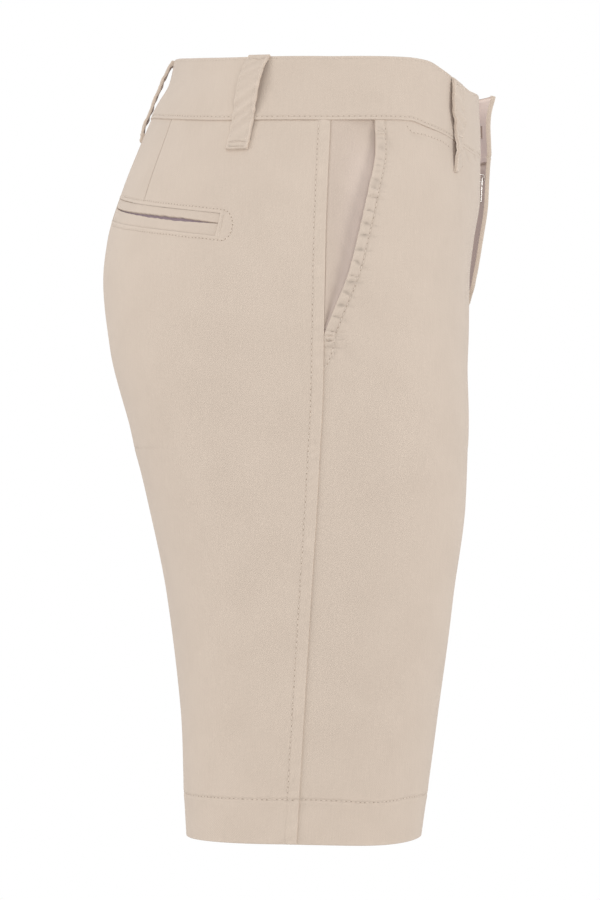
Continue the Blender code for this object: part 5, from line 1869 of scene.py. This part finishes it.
side_path = [(-20.5, SIDE_STITCH), (HEM_STITCH_Z + 0.8, SIDE_STITCH)]
sewn = both_stitched("side_topstitch", side_path, on_back)
for panel, surface_of in (("back", on_back), ("front", on_front)):
    length = float(girth(panel, HEM_STITCH_Z))
    hem_path = []
    for share in np.linspace(0.004, 0.996, 40):
        sag = float(hem_sag(panel, np.float64(HEM_STITCH_Z), share))
        hem_path.append((HEM_STITCH_Z - sag, share * length))
    sewn += both_stitched(f"hem_stitch_{panel}", hem_path, surface_of, pitch=3.2)
mouth_heights = np.arange(WAIST_ROW, FRONT_POCKET_FOOT, -4.0)
pocket_path = [(z, float(front_pocket_at(z)) + POCKET_STITCH) for z in mouth_heights]
pocket_path += [(-157.0, 6.6), (-163.0, 5.8), (-170.0, 3.6), (-175.0, 0.8)]
sewn += both_stitched("front_pocket_topstitch", pocket_path, on_front)
bag_path = [(-18.4, 51.8), (-22.5, 53.0), (-24.8, 57.0), (-25.8, 66.0), (-27.2, 76.0)]
bag_path += [(-29.6, 88.0), (-33.0, 99.0)]
sewn += both_stitched("pocket_bag_stitch", bag_path, on_front, pitch=3.2, radius=FINE_THREAD)
before_centre = [(-20.5, 30.0), (-60.0, 30.0), (-92.0, 29.0), (-106.0, 25.5), (-117.0, 18.0)]
before_centre += [(-125.0, 9.0), (-129.0, 1.0)]
fly_path = [(z, float(girth("front", z)) - before) for z, before in before_centre]
sewn += stitched("fly_topstitch", fly_path, on_front(True), True)
print("rows on the legs:", len(sewn))

# %% Stitches round the welt pocket
STITCH_HALF, END_ROUND = POCKET_HALF + WINDOW_STITCH, 8.0
outline = [(pocket_line(away) + STITCH_HALF, away) for away in strung((198.0, 70.0, 4.0))]
for turn in np.linspace(0.1, math.pi - 0.1, 9):
    middle = pocket_line(66.5)
    outline.append((middle + STITCH_HALF * math.cos(turn), 67.5 - END_ROUND * math.sin(turn)))
outline += [(pocket_line(away) - STITCH_HALF, away) for away in strung((70.0, 198.0, 4.0))]
sewn += both_stitched("welt_pocket_stitch", outline, on_back, pitch=2.6)
print("rows so far:", len(sewn))


# %% Stitches of the waistband
def on_band(left):
    """Places on the waistband's outer face."""

    def place(z, away, out):
        length = np.where(away < 0, girth("back", z), girth("front", z))
        share = np.clip(away / length, -1.0, 1.0)
        return skin("front", z, away, band_relief(z, away, share, left)[0] + out)

    return place


TOP_THREAD = 0.17
for name, edge, above, radius in (
    ("seam", 0, BAND_STITCH, THREAD_RADIUS),
    ("top", 1, -TOP_STITCH, TOP_THREAD),
):
    band_path = []
    for share in np.linspace(-0.995, 1.0, 120):
        z = float(edges_of_band(share)[edge]) + above
        band_path.append((z, share * float(girth("back" if share < 0 else "front", z))))
    more = {"holes": name == "seam", "radius": radius}
    sewn += both_stitched(f"waistband_{name}_stitch", band_path, on_band, **more)
print("stitches:", sum(len(row.data.polygons) for row in sewn), "faces in", len(sewn), "rows")


# %% Bartacks
def bartack(name, start, end, surface, left, height=1.5, count=16):
    """A short dense bar: threads side by side across the line from start to end."""
    z, away = (np.linspace(a, b, count) for a, b in zip(start, end))
    here = surface(z, away, 0.12)
    out, line = surface(z, away, 1.0) - here, here[-1] - here[0]
    line = np.broadcast_to(line / np.linalg.norm(line), here.shape)
    out /= np.linalg.norm(out, axis=-1, keepdims=True)
    across = np.cross(out, line)
    axes = np.stack([line * 0.24, out * 0.22, across * height / 2], 1)
    turn = to_side(left)
    return beads(name, here * turn, axes * turn, thread, rings=3, segments=5)


def on_loop(loop):
    """Places on a belt loop's outer face."""
    return loop_surface(loop)[0]


LOOP_BAR_HALF, LOOP_EDGE_STITCH = 5.6, 5.5
tacks = []
for loop in (SIDE_BACK_LOOP, FRONT_LOOP, CENTRE_BACK_LOOP):
    top, foot = loop.knots[0].z, loop.knots[-1].z
    bars = {"top": top - 3.0, "foot": foot + 4.6, "end": foot + 1.5}
    if loop is FRONT_LOOP:
        bars = {"top": top - 3.0, "middle": -25.0}
    for side, left in SIDES.items():
        if loop is CENTRE_BACK_LOOP and left:
            continue
        for row, z in bars.items():
            start, end = (z, -LOOP_BAR_HALF), (z, LOOP_BAR_HALF)
            name = f"bartack_{loop.name}_{side}_{row}"
            tacks.append(bartack(name, start, end, on_loop(loop), left, 1.2, 20))
        if loop is CENTRE_BACK_LOOP:
            continue
        for edge_name, edge in (("aft", -LOOP_EDGE_STITCH), ("fore", LOOP_EDGE_STITCH)):
            path = [(z, edge) for z in strung((top - 3.4, foot + 5.0, 2.0))]
            name = f"{loop.name}_{side}_{edge_name}_stitch"
            more = {"pitch": 3.0, "holes": False, "radius": FINE_THREAD}
            sewn += stitched(name, path, on_loop(loop), left, **more)
print("bartacks of the loops:", len(tacks))

# %% Bartacks of the pockets
Bar = namedtuple("Bar", "name surface start end height count")
welt_end = float(pocket_line(68.0))
BARS = [
    Bar("bartack_pocket_high", on_front, (-27.0, 29.6), (-27.0, 35.4), 0.8, 10),
    Bar("bartack_pocket_low", on_front, (-25.0, 29.6), (-25.0, 35.4), 0.8, 10),
    Bar("bartack_pocket_foot_upper", on_front, (-156.0, 0.8), (-160.5, 7.4), 1.0, 12),
    Bar("bartack_pocket_foot_lower", on_front, (-161.0, 0.8), (-165.5, 7.4), 1.0, 12),
    Bar("bartack_welts", on_back, (welt_end + 6.0, 66.4), (welt_end - 6.0, 68.4), 1.6, 26),
]
for side, left in SIDES.items():
    for bar in BARS:
        name, surface = f"{bar.name}_{side}", bar.surface(left)
        tacks.append(bartack(name, bar.start, bar.end, surface, left, bar.height, bar.count))
print("bartacks:", len(tacks))

# %% [markdown]
# ## The floor
# A pale disc stands in for the studio floor, well below the shorts.

# %% Floor
FLOOR_RADIUS, FLOOR_Z, FLOOR_SIDES = 1.2, -0.85, 95  # metres
floor_mesh = bpy.data.meshes.new("studio_floor")
turns = np.linspace(0, 2 * math.pi, FLOOR_SIDES + 1)[:-1]
ring = [(FLOOR_RADIUS * math.cos(a), FLOOR_RADIUS * math.sin(a), FLOOR_Z) for a in turns]
floor_mesh.from_pydata(ring, [], [list(range(len(ring)))])
floor_material, _, floor_shader = new_material("matt_white_paper", 0.9)
floor_shader.inputs["Base Color"].default_value = linear("#E9E7E4")
floor_mesh.materials.append(floor_material)
floor = put_in_scene("studio_floor", floor_mesh)
print("floor:", FLOOR_Z, "m")
